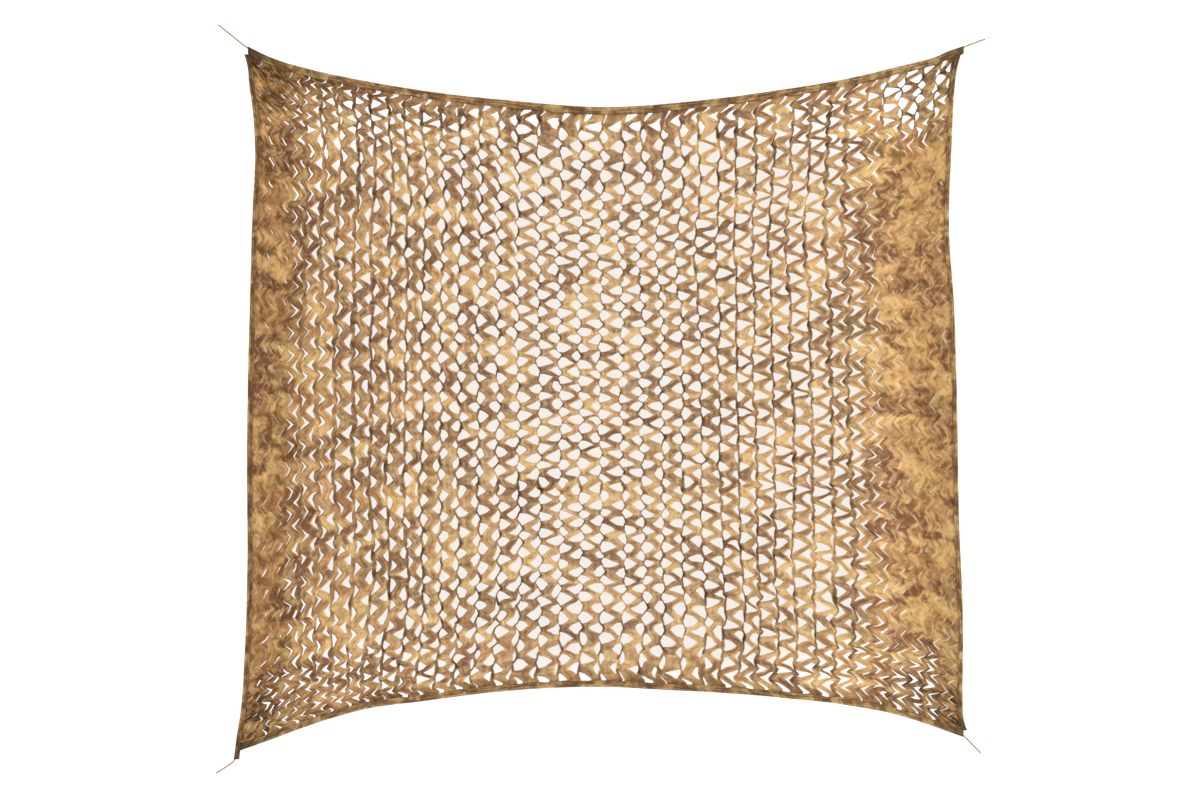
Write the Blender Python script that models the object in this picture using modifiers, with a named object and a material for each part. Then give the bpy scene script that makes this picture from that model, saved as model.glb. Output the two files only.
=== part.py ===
"""Camouflage netting: one cloth, slit in zigzag lines and pulled open into a net.

Its four edges are bound with strips of the same cloth folded over an edge rope, and the
rope's ends come out at the corners as short tie cords. Metres, +Z up. The net hangs
upright in the XZ plane, pulled tight by its corners, with its face towards -Y. The
origin is the middle of the top binding's upper edge.
"""

from math import cos, pi, radians, sin, tau

import bmesh
import bpy
import numpy as np
from mathutils import Vector

MM = 0.001

# The outer edges, in millimetres. The corners are pulled out, so every edge bows inwards.
# Columns: across, height.
TOP_EDGE = (
    (-1001, 169), (-925, 134), (-841, 109), (-673, 73), (-505, 45), (-253, 17), (0, 0),
    (251, 17), (503, 50), (671, 78), (839, 118), (923, 140), (965, 158), (1003, 171),
)
BOTTOM_EDGE = (
    (-1040, -1808), (-925, -1767), (-841, -1736), (-673, -1686), (-505, -1663), (-337, -1641),
    (0, -1624), (167, -1632), (335, -1641), (503, -1655), (671, -1674), (839, -1708),
    (923, -1736), (1002, -1764),
)
# Columns: height, across.
LEFT_EDGE = (
    (-1826, -1041), (-1772, -1034), (-1688, -1021), (-1562, -1012), (-1310, -1003),
    (-974, -1004), (-512, -995), (-260, -987), (-134, -981), (-8, -988), (76, -999), (169, -1001),
)
RIGHT_EDGE = (
    (-1772, 1002), (-1660, 1000), (-1436, 1001), (-1156, 990), (-806, 984), (-554, 976),
    (-344, 962), (-92, 970), (34, 976), (104, 984), (168, 1001),
)

# Cloth of the net.
CLOTH = 1.5 * MM            # thickness of the net's cloth, with its coating and creases
COLUMNS = 19                # repeats across, each standing for two real columns of slits
ROWS = 16                   # repeats down, each standing for two real rows
SELVAGE = 3 * MM            # uncut cloth that shows beyond a binding
PLEAT = 3.5 * MM            # spines lie this far back, the strips between them this far forward
GATHER = 8 * MM             # depth of the ruffles where the cloth is hardly pulled open
BELLY = 9 * MM              # the slack middle hangs this far back
HOLE_WIDTH = 0.64           # of a repeat's width, where the net is fully open
HOLE_HEIGHT = 0.80          # of a repeat's height, where the net is fully open
SPINE_SHARE = 0.11          # of a repeat's width, left beside a spine
TIP_HEIGHT = 0.22           # a hole's height next to its tip, of its height at the spine
SPINE_BULGE = 0.05          # the straight side of a hole bows towards its spine by this share
LEAST_OPEN = 0.38           # slits less open than this stay closed

# How far the slits are pulled open. Columns: share of the way across, opening.
OPENING = (
    (0.00, 0.10), (0.05, 0.30), (0.09, 0.62), (0.17, 0.72), (0.22, 0.88), (0.36, 0.95),
    (0.43, 1.00), (0.56, 0.96), (0.66, 0.88), (0.76, 0.86), (0.81, 0.76), (0.86, 0.56),
    (0.89, 0.30), (1.00, 0.05),
)
# Width of a repeat against the mean one. Columns: share of the way across, width.
REPEAT_WIDTH = (
    (0.00, 0.80), (0.10, 0.90), (0.25, 0.96), (0.40, 1.10), (0.50, 1.14), (0.60, 1.08),
    (0.75, 1.00), (0.87, 1.06), (1.00, 0.90),
)
# Corners where the pull tears the slits open. Columns: across, down, reach, opening.
OPEN_CORNERS = (
    (0.00, 0.00, 0.13, 0.75), (1.00, 0.00, 0.17, 0.90),
    (0.00, 1.00, 0.13, 0.60), (1.00, 1.00, 0.15, 0.85),
)

# Bindings.
BAND_CLOTH = 1.2 * MM       # thickness of the folded strip
GAP = 0.3 * MM              # air between pieces that touch
ROPE_CLEARANCE = 3 * MM     # from the rope's channel to the edge of the net inside it
END_FLARE_REACH = 55 * MM   # length over which a binding's loose end turns outwards
END_CROWDING = 0.65         # how much closer the stations stand near a binding's ends
# Columns: visible width, diameter of the rope's channel.
TOP_BAND = (21 * MM, 8 * MM)
BOTTOM_BAND = (18 * MM, 8 * MM)
LEFT_BAND = (15 * MM, 7.4 * MM)
RIGHT_BAND = (13 * MM, 7 * MM)
LEFT_END_FLARE = 11 * MM    # how far the left binding's upper end stands out
RIGHT_END_FLARE = 11 * MM   # how far the right binding's lower end stands out as a flap
SIDE_STATIONS = 20
CROSS_STATIONS = 26
BAND_WAVE = 0.07            # the strips' free edges wander by this share of their width

# Tie cords.
CORD = 4 * MM
CORD_POINTS = 16
# Each cord's route after it leaves its mouth, in millimetres. Columns: across, height.
CORD_ROUTES = {
    "tie_cord_tl": ((-1014, 174), (-1048, 201), (-1084, 230)),
    "tie_cord_tr": ((1014, 172), (1038, 181), (1063, 190)),
    "tie_cord_bl": ((-1045, -1835), (-1066, -1850), (-1090, -1865)),
    "tie_cord_br": ((1012, -1769), (1031, -1789), (1051, -1809)),
}

SAND = (0.58, 0.37, 0.17, 1)
BARK = (0.30, 0.17, 0.10, 1)
STRAW = (0.68, 0.55, 0.36, 1)


def clear_scene():
    for thing in list(bpy.data.objects):
        bpy.data.objects.remove(thing)


def collection(name):
    made = bpy.data.collections.new(name)
    bpy.context.scene.collection.children.link(made)
    return made


def material(name, colour, roughness):
    made = bpy.data.materials.new(name)
    made.use_nodes = True
    shader = made.node_tree.nodes["Principled BSDF"]
    shader.inputs["Base Color"].default_value = colour
    shader.inputs["Roughness"].default_value = roughness
    shader.inputs["Metallic"].default_value = 0.0
    return made


def smooth_through(table, place):
    """Height of a smooth curve through a table's rows (place, height)."""
    places, heights = np.array(table, float).T
    slopes = np.gradient(heights, places)
    left = int(np.clip(np.searchsorted(places, place) - 1, 0, len(places) - 2))
    width = places[left + 1] - places[left]
    t = min(max((place - places[left]) / width, 0.0), 1.0)
    start = heights[left] * (1 + 2 * t) + slopes[left] * width * t
    end = heights[left + 1] * (3 - 2 * t) + slopes[left + 1] * width * (t - 1)
    return start * (1 - t) ** 2 + end * t ** 2


def edge(table, place):
    """An edge's position at a place along it, in metres."""
    return smooth_through(table, place / MM) * MM


def lean(table, place):
    """How much longer an edge is there than its straight distance."""
    step = 4 * MM
    rise = edge(table, place + step) - edge(table, place - step)
    return (1 + (rise / (2 * step)) ** 2) ** 0.5


def top_line(across, inset):
    return edge(TOP_EDGE, across) - inset * lean(TOP_EDGE, across)


def bottom_line(across, inset):
    return edge(BOTTOM_EDGE, across) + inset * lean(BOTTOM_EDGE, across)


def left_line(height, inset):
    return edge(LEFT_EDGE, height) + inset


def right_line(height, inset):
    return edge(RIGHT_EDGE, height) - inset


def corner(side_line, side_inset, cross_line, cross_inset, start):
    """Where a side line and a top or bottom line cross."""
    across, height = start
    for _ in range(30):
        across = side_line(height, side_inset)
        height = cross_line(across, cross_inset)
    return np.array((across, height))


# ---------------------------------------------------------------- the net

def panel_inset(band):
    return band[1] + ROPE_CLEARANCE


class Outline:
    """The net's own outline inside its bindings, filled between opposite edges."""

    def __init__(self):
        left, right = panel_inset(LEFT_BAND), panel_inset(RIGHT_BAND)
        top, bottom = panel_inset(TOP_BAND), panel_inset(BOTTOM_BAND)
        self.insets = (left, right, top, bottom)
        self.tl = corner(left_line, left, top_line, top, (-1.0, 0.15))
        self.tr = corner(right_line, right, top_line, top, (1.0, 0.15))
        self.bl = corner(left_line, left, bottom_line, bottom, (-1.0, -1.78))
        self.br = corner(right_line, right, bottom_line, bottom, (1.0, -1.75))

    def point(self, s, t):
        """Across and height at a share s of the way across and t of the way down."""
        left, right, top, bottom = self.insets
        x_top = self.tl[0] * (1 - s) + self.tr[0] * s
        x_bottom = self.bl[0] * (1 - s) + self.br[0] * s
        z_left = self.tl[1] * (1 - t) + self.bl[1] * t
        z_right = self.tr[1] * (1 - t) + self.br[1] * t
        on_top = np.array((x_top, top_line(x_top, top)))
        on_bottom = np.array((x_bottom, bottom_line(x_bottom, bottom)))
        on_left = np.array((left_line(z_left, left), z_left))
        on_right = np.array((right_line(z_right, right), z_right))
        between = on_top * (1 - t) + on_bottom * t + on_left * (1 - s) + on_right * s
        corners = (self.tl * (1 - s) + self.tr * s) * (1 - t) + (self.bl * (1 - s) + self.br * s) * t
        return between - corners


def opening(s, t):
    """How far the slits are pulled open at a place, from 0 to about 1."""
    found = smooth_through(OPENING, s)
    for across, down, reach, pulled in OPEN_CORNERS:
        near = max(0.0, 1 - ((s - across) ** 2 + (t - down) ** 2) ** 0.5 / reach)
        found = max(found, pulled * min(1.0, 2.2 * near))
    return found


def column_places():
    """Share of the way across at which each repeat starts."""
    middles = (np.arange(COLUMNS) + 0.5) / COLUMNS
    widths = np.array([smooth_through(REPEAT_WIDTH, m) for m in middles])
    return np.concatenate(([0.0], np.cumsum(widths / widths.sum())))


def points_right(column):
    """Every other column of holes points right, the ones between them left."""
    return column % 2 == 0


def cut_cells(mesh_in_work):
    """The repeats that are cut, on the flat lattice: (face, column, row)."""
    places = column_places()
    found = []
    for face in mesh_in_work.faces:
        middle = face.calc_center_median()
        column = int(middle.x)
        row = middle.y / 2
        inside = 0 < middle.x < COLUMNS and 0 < row < ROWS
        if len(face.verts) != 6 or not inside:
            continue
        s = (places[column] + places[column + 1]) / 2
        if opening(s, row / ROWS) >= LEAST_OPEN:
            found.append((face, column, row))
    return found


def join_half_rows(mesh_in_work):
    """Makes each repeat one face of six corners, staggered from column to column."""
    seams = []
    for side in mesh_in_work.edges:
        a, b = (corner_point.co for corner_point in side.verts)
        if abs(a.y - b.y) > 0.1:
            continue
        column = round(min(a.x, b.x))
        row = round(a.y)
        inner = 0 <= column < COLUMNS and 0 < row < 2 * ROWS
        if inner and (row + column) % 2 == 1:
            seams.append(side)
    bmesh.ops.dissolve_edges(mesh_in_work, edges=seams, use_verts=False)


def open_holes(mesh_in_work):
    """Cuts one triangular hole in each open repeat, flat against a spine."""
    places = column_places()
    cells = cut_cells(mesh_in_work)
    faces = [face for face, _, _ in cells]
    bmesh.ops.inset_individual(mesh_in_work, faces=faces, thickness=0.2, use_even_offset=True)
    for face, column, row in cells:
        middle_s = (places[column] + places[column + 1]) / 2
        pulled = opening(middle_s, row / ROWS)
        width = HOLE_WIDTH * pulled
        height = HOLE_HEIGHT * min(1.0, 0.45 + 0.55 * pulled)
        turn = 1 if points_right(column) else -1
        spine = column if turn > 0 else column + 1
        for point in face.verts:
            near_spine = (point.co.x - column - 0.5) * turn < 0
            level = round((point.co.y - 2 * row) * 2) / 2
            side = (level > 0.2) - (level < -0.2)
            if near_spine:
                away = SPINE_SHARE - (SPINE_BULGE if side == 0 else 0)
                reach = height * side
            else:
                away = SPINE_SHARE + width * (1.0 if side == 0 else 0.86)
                reach = height * TIP_HEIGHT * side
            point.co.x = spine + turn * away
            point.co.y = 2 * row + reach
    bmesh.ops.delete(mesh_in_work, geom=faces, context="FACES_ONLY")
    print("holes cut in the net:", len(faces))


def relief(column, row, s, t):
    """How far a point of the net stands back (+) or forward (-), in metres."""
    closed = max(0.0, 1 - opening(s, t))
    pleat = PLEAT * cos(tau * column) * (1 - 0.4 * cos(pi * row))
    uneven = 0.65 + 0.35 * cos(2.1 * row + 1.7 * column)
    gather = GATHER * closed * uneven * cos(pi * (row + column))
    belly = BELLY * sin(pi * s) * sin(pi * t)
    return pleat + gather + belly


def hang_panel(mesh_in_work):
    """Moves the flat lattice to where the net hangs."""
    outline = Outline()
    places = column_places()
    width = outline.tr[0] - outline.tl[0]
    height = outline.tl[1] - outline.bl[1]
    show_left = (LEFT_BAND[0] - panel_inset(LEFT_BAND) + SELVAGE) / width
    show_right = (RIGHT_BAND[0] - panel_inset(RIGHT_BAND) + SELVAGE) / width
    show_top = (TOP_BAND[0] - panel_inset(TOP_BAND) + SELVAGE) / height
    show_bottom = (BOTTOM_BAND[0] - panel_inset(BOTTOM_BAND) + SELVAGE) / height
    for point in mesh_in_work.verts:
        column, row = point.co.x, point.co.y
        share = np.interp(column, np.arange(COLUMNS + 1), places)
        s = show_left + share * (1 - show_left - show_right)
        t = show_top + row / (2 * ROWS) * (1 - show_top - show_bottom)
        on_rim = column < 0 or column > COLUMNS or row < 0 or row > 2 * ROWS
        s = 0.0 if column < 0 else 1.0 if column > COLUMNS else s
        t = 0.0 if row < 0 else 1.0 if row > 2 * ROWS else t
        hidden = on_rim or column in (0, COLUMNS) or row in (0, 2 * ROWS)
        depth = 0.0 if hidden else relief(column, row, s, t)
        across, up = outline.point(s, t)
        point.co = Vector((across, depth, up))


def net_panel(home, finish):
    """One cloth: a lattice of repeats, slit, pulled open and given its thickness."""
    work = bmesh.new()
    across, down = COLUMNS + 2, 2 * ROWS + 2
    bmesh.ops.create_grid(work, x_segments=across, y_segments=down, size=0.5)
    for point in work.verts:
        point.co.x = round((point.co.x + 0.5) * across) - 1
        point.co.y = round((0.5 - point.co.y) * down) - 1
    join_half_rows(work)
    open_holes(work)
    hang_panel(work)
    bmesh.ops.triangulate(work, faces=work.faces)
    bmesh.ops.recalc_face_normals(work, faces=work.faces)
    return cloth_object("net_panel", work, CLOTH, home, finish)


def cloth_object(name, work, thickness, home, finish):
    """Turns an open surface into an object with a cloth's thickness."""
    made = bpy.data.meshes.new(name)
    work.to_mesh(made)
    work.free()
    made.materials.append(finish)
    made.shade_smooth()
    made.set_sharp_from_angle(angle=radians(40))
    thing = bpy.data.objects.new(name, made)
    home.objects.link(thing)
    wall = thing.modifiers.new("cloth", "SOLIDIFY")
    wall.thickness = thickness
    wall.offset = 0.0
    wall.use_even_offset = False
    wall.use_rim = True
    return thing


# ---------------------------------------------------------------- the bindings

def fold_profile(band):
    """The folded strip's section, from one free edge round the rope to the other.

    Each row is (inset from the outer edge, depth), along the middle of the cloth.
    """
    width, channel = band
    leg = CLOTH / 2 + GAP + BAND_CLOTH / 2
    round_rope = (channel - BAND_CLOTH) / 2
    centre = channel / 2
    section = [(width, -leg), (channel + 0.6 * MM, -leg)]
    for turn in (-90, -140, -180, -220, -270):
        section.append((centre + round_rope * cos(radians(turn)), round_rope * sin(radians(turn))))
    section += [(channel + 0.6 * MM, leg), (width, leg)]
    return section


def wander(share, inset, band):
    """The free edge of a strip isn't quite straight."""
    width, channel = band
    if inset < channel:
        return inset
    return inset - width * BAND_WAVE * (1 + sin(37 * share) * cos(11 * share)) / 2


def crowded(share):
    """Moves the stations of a binding towards its ends, where it bends most."""
    return (1 - END_CROWDING) * share + END_CROWDING * (1 - cos(pi * share)) / 2


def binding(name, band, stations, place, home, finish):
    """Sweeps the folded section along an edge.

    place(share, inset) gives across and height of a thread at that inset.
    """
    section = fold_profile(band)
    work = bmesh.new()
    bmesh.ops.create_grid(work, x_segments=stations, y_segments=len(section) - 1, size=0.5)
    for point in work.verts:
        share = crowded(point.co.x + 0.5)
        inset, depth = section[round((point.co.y + 0.5) * (len(section) - 1))]
        across, up = place(share, wander(share, inset, band))
        point.co = Vector((across, depth, up))
    bmesh.ops.recalc_face_normals(work, faces=work.faces)
    return cloth_object(name, work, BAND_CLOTH, home, finish)


def flare(distance, amount):
    """A loose end turns outwards over its last stretch."""
    share = max(0.0, 1 - distance / END_FLARE_REACH)
    return amount * share * share


def top_place(share, inset):
    start, end = TOP_EDGE[0][0] * MM, TOP_EDGE[-1][0] * MM
    across = start + (end - start) * share
    return across, top_line(across, inset)


def bottom_place(share, inset):
    """The bottom binding stops at the left one and runs past the right one."""
    start = corner(left_line, LEFT_BAND[0] + GAP, bottom_line, inset, (-1.0, -1.78))[0]
    end = BOTTOM_EDGE[-1][0] * MM
    across = start + (end - start) * share
    return across, bottom_line(across, inset)


def left_place(share, inset):
    """The left binding starts under the top one and runs on past the bottom one."""
    start = corner(left_line, inset, top_line, TOP_BAND[0] + GAP, (-1.0, 0.15))[1]
    end = LEFT_EDGE[0][0] * MM
    height = start + (end - start) * share
    return left_line(height, inset) - flare(start - height, LEFT_END_FLARE), height


def right_place(share, inset):
    """The right binding stands between the top one and the bottom one."""
    start = corner(right_line, inset, top_line, TOP_BAND[0] + GAP, (1.0, 0.15))[1]
    end = corner(right_line, inset, bottom_line, BOTTOM_BAND[0] + GAP, (1.0, -1.75))[1]
    height = start + (end - start) * share
    return right_line(height, inset) + flare(height - end, RIGHT_END_FLARE), height


# ---------------------------------------------------------------- the cords

def route_points(route):
    """Evenly spaced points on a smooth curve through a route's own points."""
    own = np.array(route, float)
    gaps = np.linalg.norm(np.diff(own, axis=0), axis=1)
    along = np.concatenate(([0.0], np.cumsum(gaps)))
    steps = np.linspace(0, along[-1], CORD_POINTS)
    across = [smooth_through(list(zip(along, own[:, 0])), step) for step in steps]
    height = [smooth_through(list(zip(along, own[:, 1])), step) for step in steps]
    return [(x * MM, z * MM) for x, z in zip(across, height)]


def tie_cord(name, mouth, home, finish):
    """A cord from inside its mouth, along its route, to its bare end."""
    route = list(mouth) + list(CORD_ROUTES[name])
    line = bpy.data.curves.new(name, "CURVE")
    line.dimensions = "3D"
    line.bevel_depth = CORD / 2
    line.bevel_resolution = 2
    line.use_fill_caps = True
    spline = line.splines.new("POLY")
    points = route_points(route)
    spline.points.add(len(points) - 1)
    for point, (across, height) in zip(spline.points, points):
        point.co = (across, 0, height, 1)
    line.materials.append(finish)
    thing = bpy.data.objects.new(name, line)
    home.objects.link(thing)
    return thing


def mouth_of(place, band, share, depth_in):
    """Two points on a rope's channel, just inside a binding's end and at it, in mm."""
    end = np.array(place(share, band[1] / 2))
    inner_share = share + (0.004 if share < 0.5 else -0.004)
    inner = np.array(place(inner_share, band[1] / 2))
    along = (inner - end) / np.linalg.norm(inner - end)
    return [tuple((end + along * depth_in) / MM), tuple(end / MM)]


def main():
    clear_scene()
    home = collection("camouflage_netting")
    cloth = material("printed_cloth", SAND, 0.85)
    strip = material("binding_cloth", BARK, 0.85)
    rope = material("cord_fibre", STRAW, 0.8)
    net_panel(home, cloth)
    binding("binding_top", TOP_BAND, CROSS_STATIONS, top_place, home, strip)
    binding("binding_bottom", BOTTOM_BAND, CROSS_STATIONS, bottom_place, home, strip)
    binding("binding_left", LEFT_BAND, SIDE_STATIONS, left_place, home, strip)
    binding("binding_right", RIGHT_BAND, SIDE_STATIONS, right_place, home, strip)
    depth_in = 8 * MM
    tie_cord("tie_cord_tl", mouth_of(top_place, TOP_BAND, 0, depth_in), home, rope)
    tie_cord("tie_cord_tr", mouth_of(top_place, TOP_BAND, 1, depth_in), home, rope)
    tie_cord("tie_cord_bl", mouth_of(left_place, LEFT_BAND, 1, depth_in), home, rope)
    tie_cord("tie_cord_br", mouth_of(bottom_place, BOTTOM_BAND, 1, depth_in), home, rope)


main()
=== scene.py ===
# %% [markdown]
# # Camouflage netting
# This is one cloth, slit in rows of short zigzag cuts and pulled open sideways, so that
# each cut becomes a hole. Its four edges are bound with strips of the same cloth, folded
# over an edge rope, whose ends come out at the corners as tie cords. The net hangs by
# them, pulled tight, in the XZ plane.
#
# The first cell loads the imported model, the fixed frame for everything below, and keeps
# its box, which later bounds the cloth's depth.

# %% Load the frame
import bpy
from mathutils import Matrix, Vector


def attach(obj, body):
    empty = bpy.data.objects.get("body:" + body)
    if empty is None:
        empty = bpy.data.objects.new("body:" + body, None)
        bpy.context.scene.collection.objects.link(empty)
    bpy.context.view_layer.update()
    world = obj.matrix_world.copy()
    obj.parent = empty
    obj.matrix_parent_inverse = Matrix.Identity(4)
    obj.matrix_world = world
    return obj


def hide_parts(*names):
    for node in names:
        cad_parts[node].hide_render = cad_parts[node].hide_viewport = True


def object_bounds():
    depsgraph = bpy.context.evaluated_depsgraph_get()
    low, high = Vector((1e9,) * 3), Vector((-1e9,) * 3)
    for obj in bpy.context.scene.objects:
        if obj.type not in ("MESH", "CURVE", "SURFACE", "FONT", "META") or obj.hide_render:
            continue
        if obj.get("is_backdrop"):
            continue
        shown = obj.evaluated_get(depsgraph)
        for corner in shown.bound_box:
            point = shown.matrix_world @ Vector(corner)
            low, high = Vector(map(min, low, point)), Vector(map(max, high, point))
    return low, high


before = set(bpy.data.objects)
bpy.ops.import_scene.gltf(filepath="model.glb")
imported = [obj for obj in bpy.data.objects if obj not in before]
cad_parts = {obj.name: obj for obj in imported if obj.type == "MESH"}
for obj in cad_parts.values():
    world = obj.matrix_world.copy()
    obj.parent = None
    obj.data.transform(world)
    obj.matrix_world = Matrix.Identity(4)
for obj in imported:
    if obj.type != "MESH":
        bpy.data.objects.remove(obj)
cad_low, cad_high = (list(corner_point) for corner_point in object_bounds())
print("CAD box, lowest corner:", [round(value, 4) for value in cad_low])
print("CAD box, highest corner:", [round(value, 4) for value in cad_high])

# %% Modules and units
from math import cos, pi, radians, sin, tau

import bmesh
import bpy
import numpy as np
from mathutils import Vector

MM = 0.001
BODY = "root"


def linked(name, data):
    """A new object of some data, linked to the scene."""
    made = bpy.data.objects.new(name, data)
    bpy.context.scene.collection.objects.link(made)
    return made


def mesh_of(work, name):
    """A mesh of what a bmesh holds. The bmesh is freed."""
    made = bpy.data.meshes.new(name)
    work.to_mesh(made)
    work.free()
    return made


def unit(values):
    """Values held between 0 and 1."""
    return np.clip(values, 0, 1)


print("one body carries every piece:", BODY)

# %% [markdown]
# ## Camera
# The net is looked at straight on, from far enough away to flatten its perspective. The
# view's width at the net sets the focal length, with all four cords in the picture.

# %% Camera
VIEW_WIDTH = 3.36            # metres across at the net
VIEW_CENTRE = (-0.0154, -0.8204)
CAMERA_DISTANCE = 9.0
SENSOR = 36.0                # millimetres
CLIP_END = 60

lens = bpy.data.cameras.new("camera")
lens.sensor_width = SENSOR
lens.lens = SENSOR * CAMERA_DISTANCE / VIEW_WIDTH
lens.clip_end = CLIP_END
camera = linked("camera", lens)
camera.location = (VIEW_CENTRE[0], -CAMERA_DISTANCE, VIEW_CENTRE[1])
camera.rotation_euler = (radians(90), 0, 0)
bpy.context.scene.camera = camera
bpy.context.scene.view_settings.view_transform = "Standard"
print("focal length, mm:", round(lens.lens, 1))

# %% [markdown]
# ## Floor and reflector
# The floor is a plain pale sheet below the net. The white sheet behind the net is a
# reflector, which throws the lamps' light back through the cloth. The camera doesn't see
# it, so a camera behind the net still sees the net. Both are one row of faces, bent
# along a profile, which is quicker to change than a modelled box.

# %% Floor and reflector
FLOOR = -2.35                # the floor's height, below the lower cords
FLOOR_FRONT = -6.0
WALL = 2.2                   # how far behind the net the reflector stands
WALL_TOP = 6.0
FOOT_RADIUS = 0.9            # the bend at the reflector's foot
HALF_WIDTH = 6.5


def new_finish(name, roughness, specular=0.5):
    """A new material, its tree and its shader."""
    made = bpy.data.materials.new(name)
    made.use_nodes = True
    shader = made.node_tree.nodes["Principled BSDF"]
    shader.inputs["Roughness"].default_value = roughness
    shader.inputs["Specular IOR Level"].default_value = specular
    return made, made.node_tree, shader


def plain_sheet(name, profile, white):
    """A wide matt sheet that follows (back, height) points."""
    work = bmesh.new()
    bmesh.ops.create_grid(work, x_segments=1, y_segments=len(profile) - 1, size=1)
    for point in work.verts:
        back, height = profile[round((point.co.y + 1) / 2 * (len(profile) - 1))]
        point.co = Vector((point.co.x * HALF_WIDTH, back, height))
    mesh = mesh_of(work, name)
    surface, _, shader = new_finish(name, 0.9)
    shader.inputs["Base Color"].default_value = (white, white, white, 1)
    mesh.materials.append(surface)
    mesh.shade_smooth()
    made = linked(name, mesh)
    made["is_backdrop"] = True
    return made


rising = [(WALL - FOOT_RADIUS * (1 - sin(turn)), FLOOR + FOOT_RADIUS * (1 - cos(turn)))
          for turn in map(radians, range(0, 91, 6))]
floor = plain_sheet("floor", [(FLOOR_FRONT, FLOOR), rising[0]], 0.90)
reflector = plain_sheet("reflector", rising + [(WALL, WALL_TOP)], 0.93)
reflector.visible_camera = False
print("floor and reflector faces:", len(floor.data.polygons), len(reflector.data.polygons))

# %% [markdown]
# ## Light
# Netting is best shown in a light tent: white light from all sides, which the world gives,
# and one large soft lamp high on the right that gives each fold a lit side and a dark
# side. Two more lamps light the reflector, which lights the net from behind.

# %% Light
FILL_LEVEL = 0.34
# Each lamp's place, what it points at, its size and its power.
LAMPS = {
    "key": ((4.2, -4.6, 3.2), (0, 0, -0.8), 2.4, 275),
    "back_left": ((-3.4, 0.9, 0.6), (-0.4, WALL, -0.9), 1.6, 95),
    "back_right": ((3.4, 0.9, 0.6), (0.4, WALL, -0.9), 1.6, 80),
}

world = bpy.data.worlds.new("light_tent")
world.use_nodes = True
world.node_tree.nodes["Background"].inputs["Color"].default_value = (1, 1, 1, 1)
world.node_tree.nodes["Background"].inputs["Strength"].default_value = FILL_LEVEL
bpy.context.scene.world = world
for name, (place, target, size, power) in LAMPS.items():
    lamp = bpy.data.lights.new(name, "AREA")
    lamp.size = size
    lamp.energy = power
    made = linked(name, lamp)
    made.location = place
    made.rotation_euler = (Vector(target) - Vector(place)).to_track_quat("-Z", "Y").to_euler()
print("lamps:", len(LAMPS))

# %% [markdown]
# ## The outline
# The pulled-out corners give every edge an inward bow. Each edge is a short table with a
# smooth curve through its rows. The net, the bindings and the cords all use these same
# four curves, so that they fit.

# %% Edge tables
# Columns: across, height, in millimetres.
TOP_EDGE = (
    (-1001, 169), (-925, 134), (-841, 109), (-673, 73), (-505, 45), (-253, 17), (0, 0),
    (251, 17), (503, 50), (671, 78), (839, 118), (923, 140), (965, 158), (1003, 171),
)
BOTTOM_EDGE = (
    (-1040, -1808), (-925, -1767), (-841, -1736), (-673, -1686), (-505, -1663), (-337, -1641),
    (0, -1624), (167, -1632), (335, -1641), (503, -1655), (671, -1674), (839, -1708),
    (923, -1736), (1002, -1764),
)
# Columns: height, across, in millimetres.
LEFT_EDGE = (
    (-1826, -1041), (-1772, -1034), (-1688, -1021), (-1562, -1012), (-1310, -1003), (-974, -1004),
    (-512, -995), (-260, -987), (-134, -981), (-8, -988), (76, -999), (169, -1001),
)
RIGHT_EDGE = (
    (-1772, 1002), (-1660, 1000), (-1436, 1001), (-1156, 990), (-806, 984), (-554, 976),
    (-344, 962), (-92, 970), (34, 976), (104, 984), (168, 1001),
)
FLARE = 11 * MM              # the left edge's top end and the right one's foot turn outwards
FLARE_REACH = 55 * MM


def flare(distance):
    """How far a flared end turns outwards, at a distance from its tip."""
    share = unit(1 - distance / FLARE_REACH)
    return FLARE * share * share


def curve_through(table, place):
    """Heights of a smooth curve through a table's rows (place, height)."""
    places, heights = np.array(table, float).T
    slopes = np.gradient(heights, places)
    left = np.clip(np.searchsorted(places, place) - 1, 0, len(places) - 2)
    width = places[left + 1] - places[left]
    t = unit((place - places[left]) / width)
    start = heights[left] * (1 + 2 * t) + slopes[left] * width * t
    end = heights[left + 1] * (3 - 2 * t) + slopes[left + 1] * width * (t - 1)
    return start * (1 - t) ** 2 + end * t ** 2


def edge(table, place):
    """An edge's position at places along it, in metres."""
    return curve_through(table, np.asarray(place) / MM) * MM


def lean(table, place):
    """How much longer an edge is there than its straight distance."""
    step = 4 * MM
    rise = edge(table, place + step) - edge(table, place - step)
    return (1 + (rise / (2 * step)) ** 2) ** 0.5


def top_line(across, inset):
    return edge(TOP_EDGE, across) - inset * lean(TOP_EDGE, across)


def bottom_line(across, inset):
    return edge(BOTTOM_EDGE, across) + inset * lean(BOTTOM_EDGE, across)


def left_line(height, inset):
    return edge(LEFT_EDGE, height) + inset


def right_line(height, inset):
    return edge(RIGHT_EDGE, height) - inset


def corner(side_line, side_inset, cross_line, cross_inset):
    """Where a side line and a top or bottom line cross, found in small corrections."""
    height = 0.0
    for _ in range(30):
        across = float(side_line(height, side_inset))
        height = float(cross_line(across, cross_inset))
    return np.array((across, height))


print("top edge's sag, mm:", round(float(edge(TOP_EDGE, 1.0)) / MM))

# %% [markdown]
# ## Tie cords
# Each tie cord is the end of an edge rope: three strands laid together, cut off bare. A
# bevelled curve would be a smooth rod. Here a section with three lobes is swept along the
# route and turned a little at each step, which gives the twist its true shape. The routes
# are the same points as the solids'.

# %% Cord routes
CORD = 4 * MM
CORD_POINTS = 16
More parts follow.
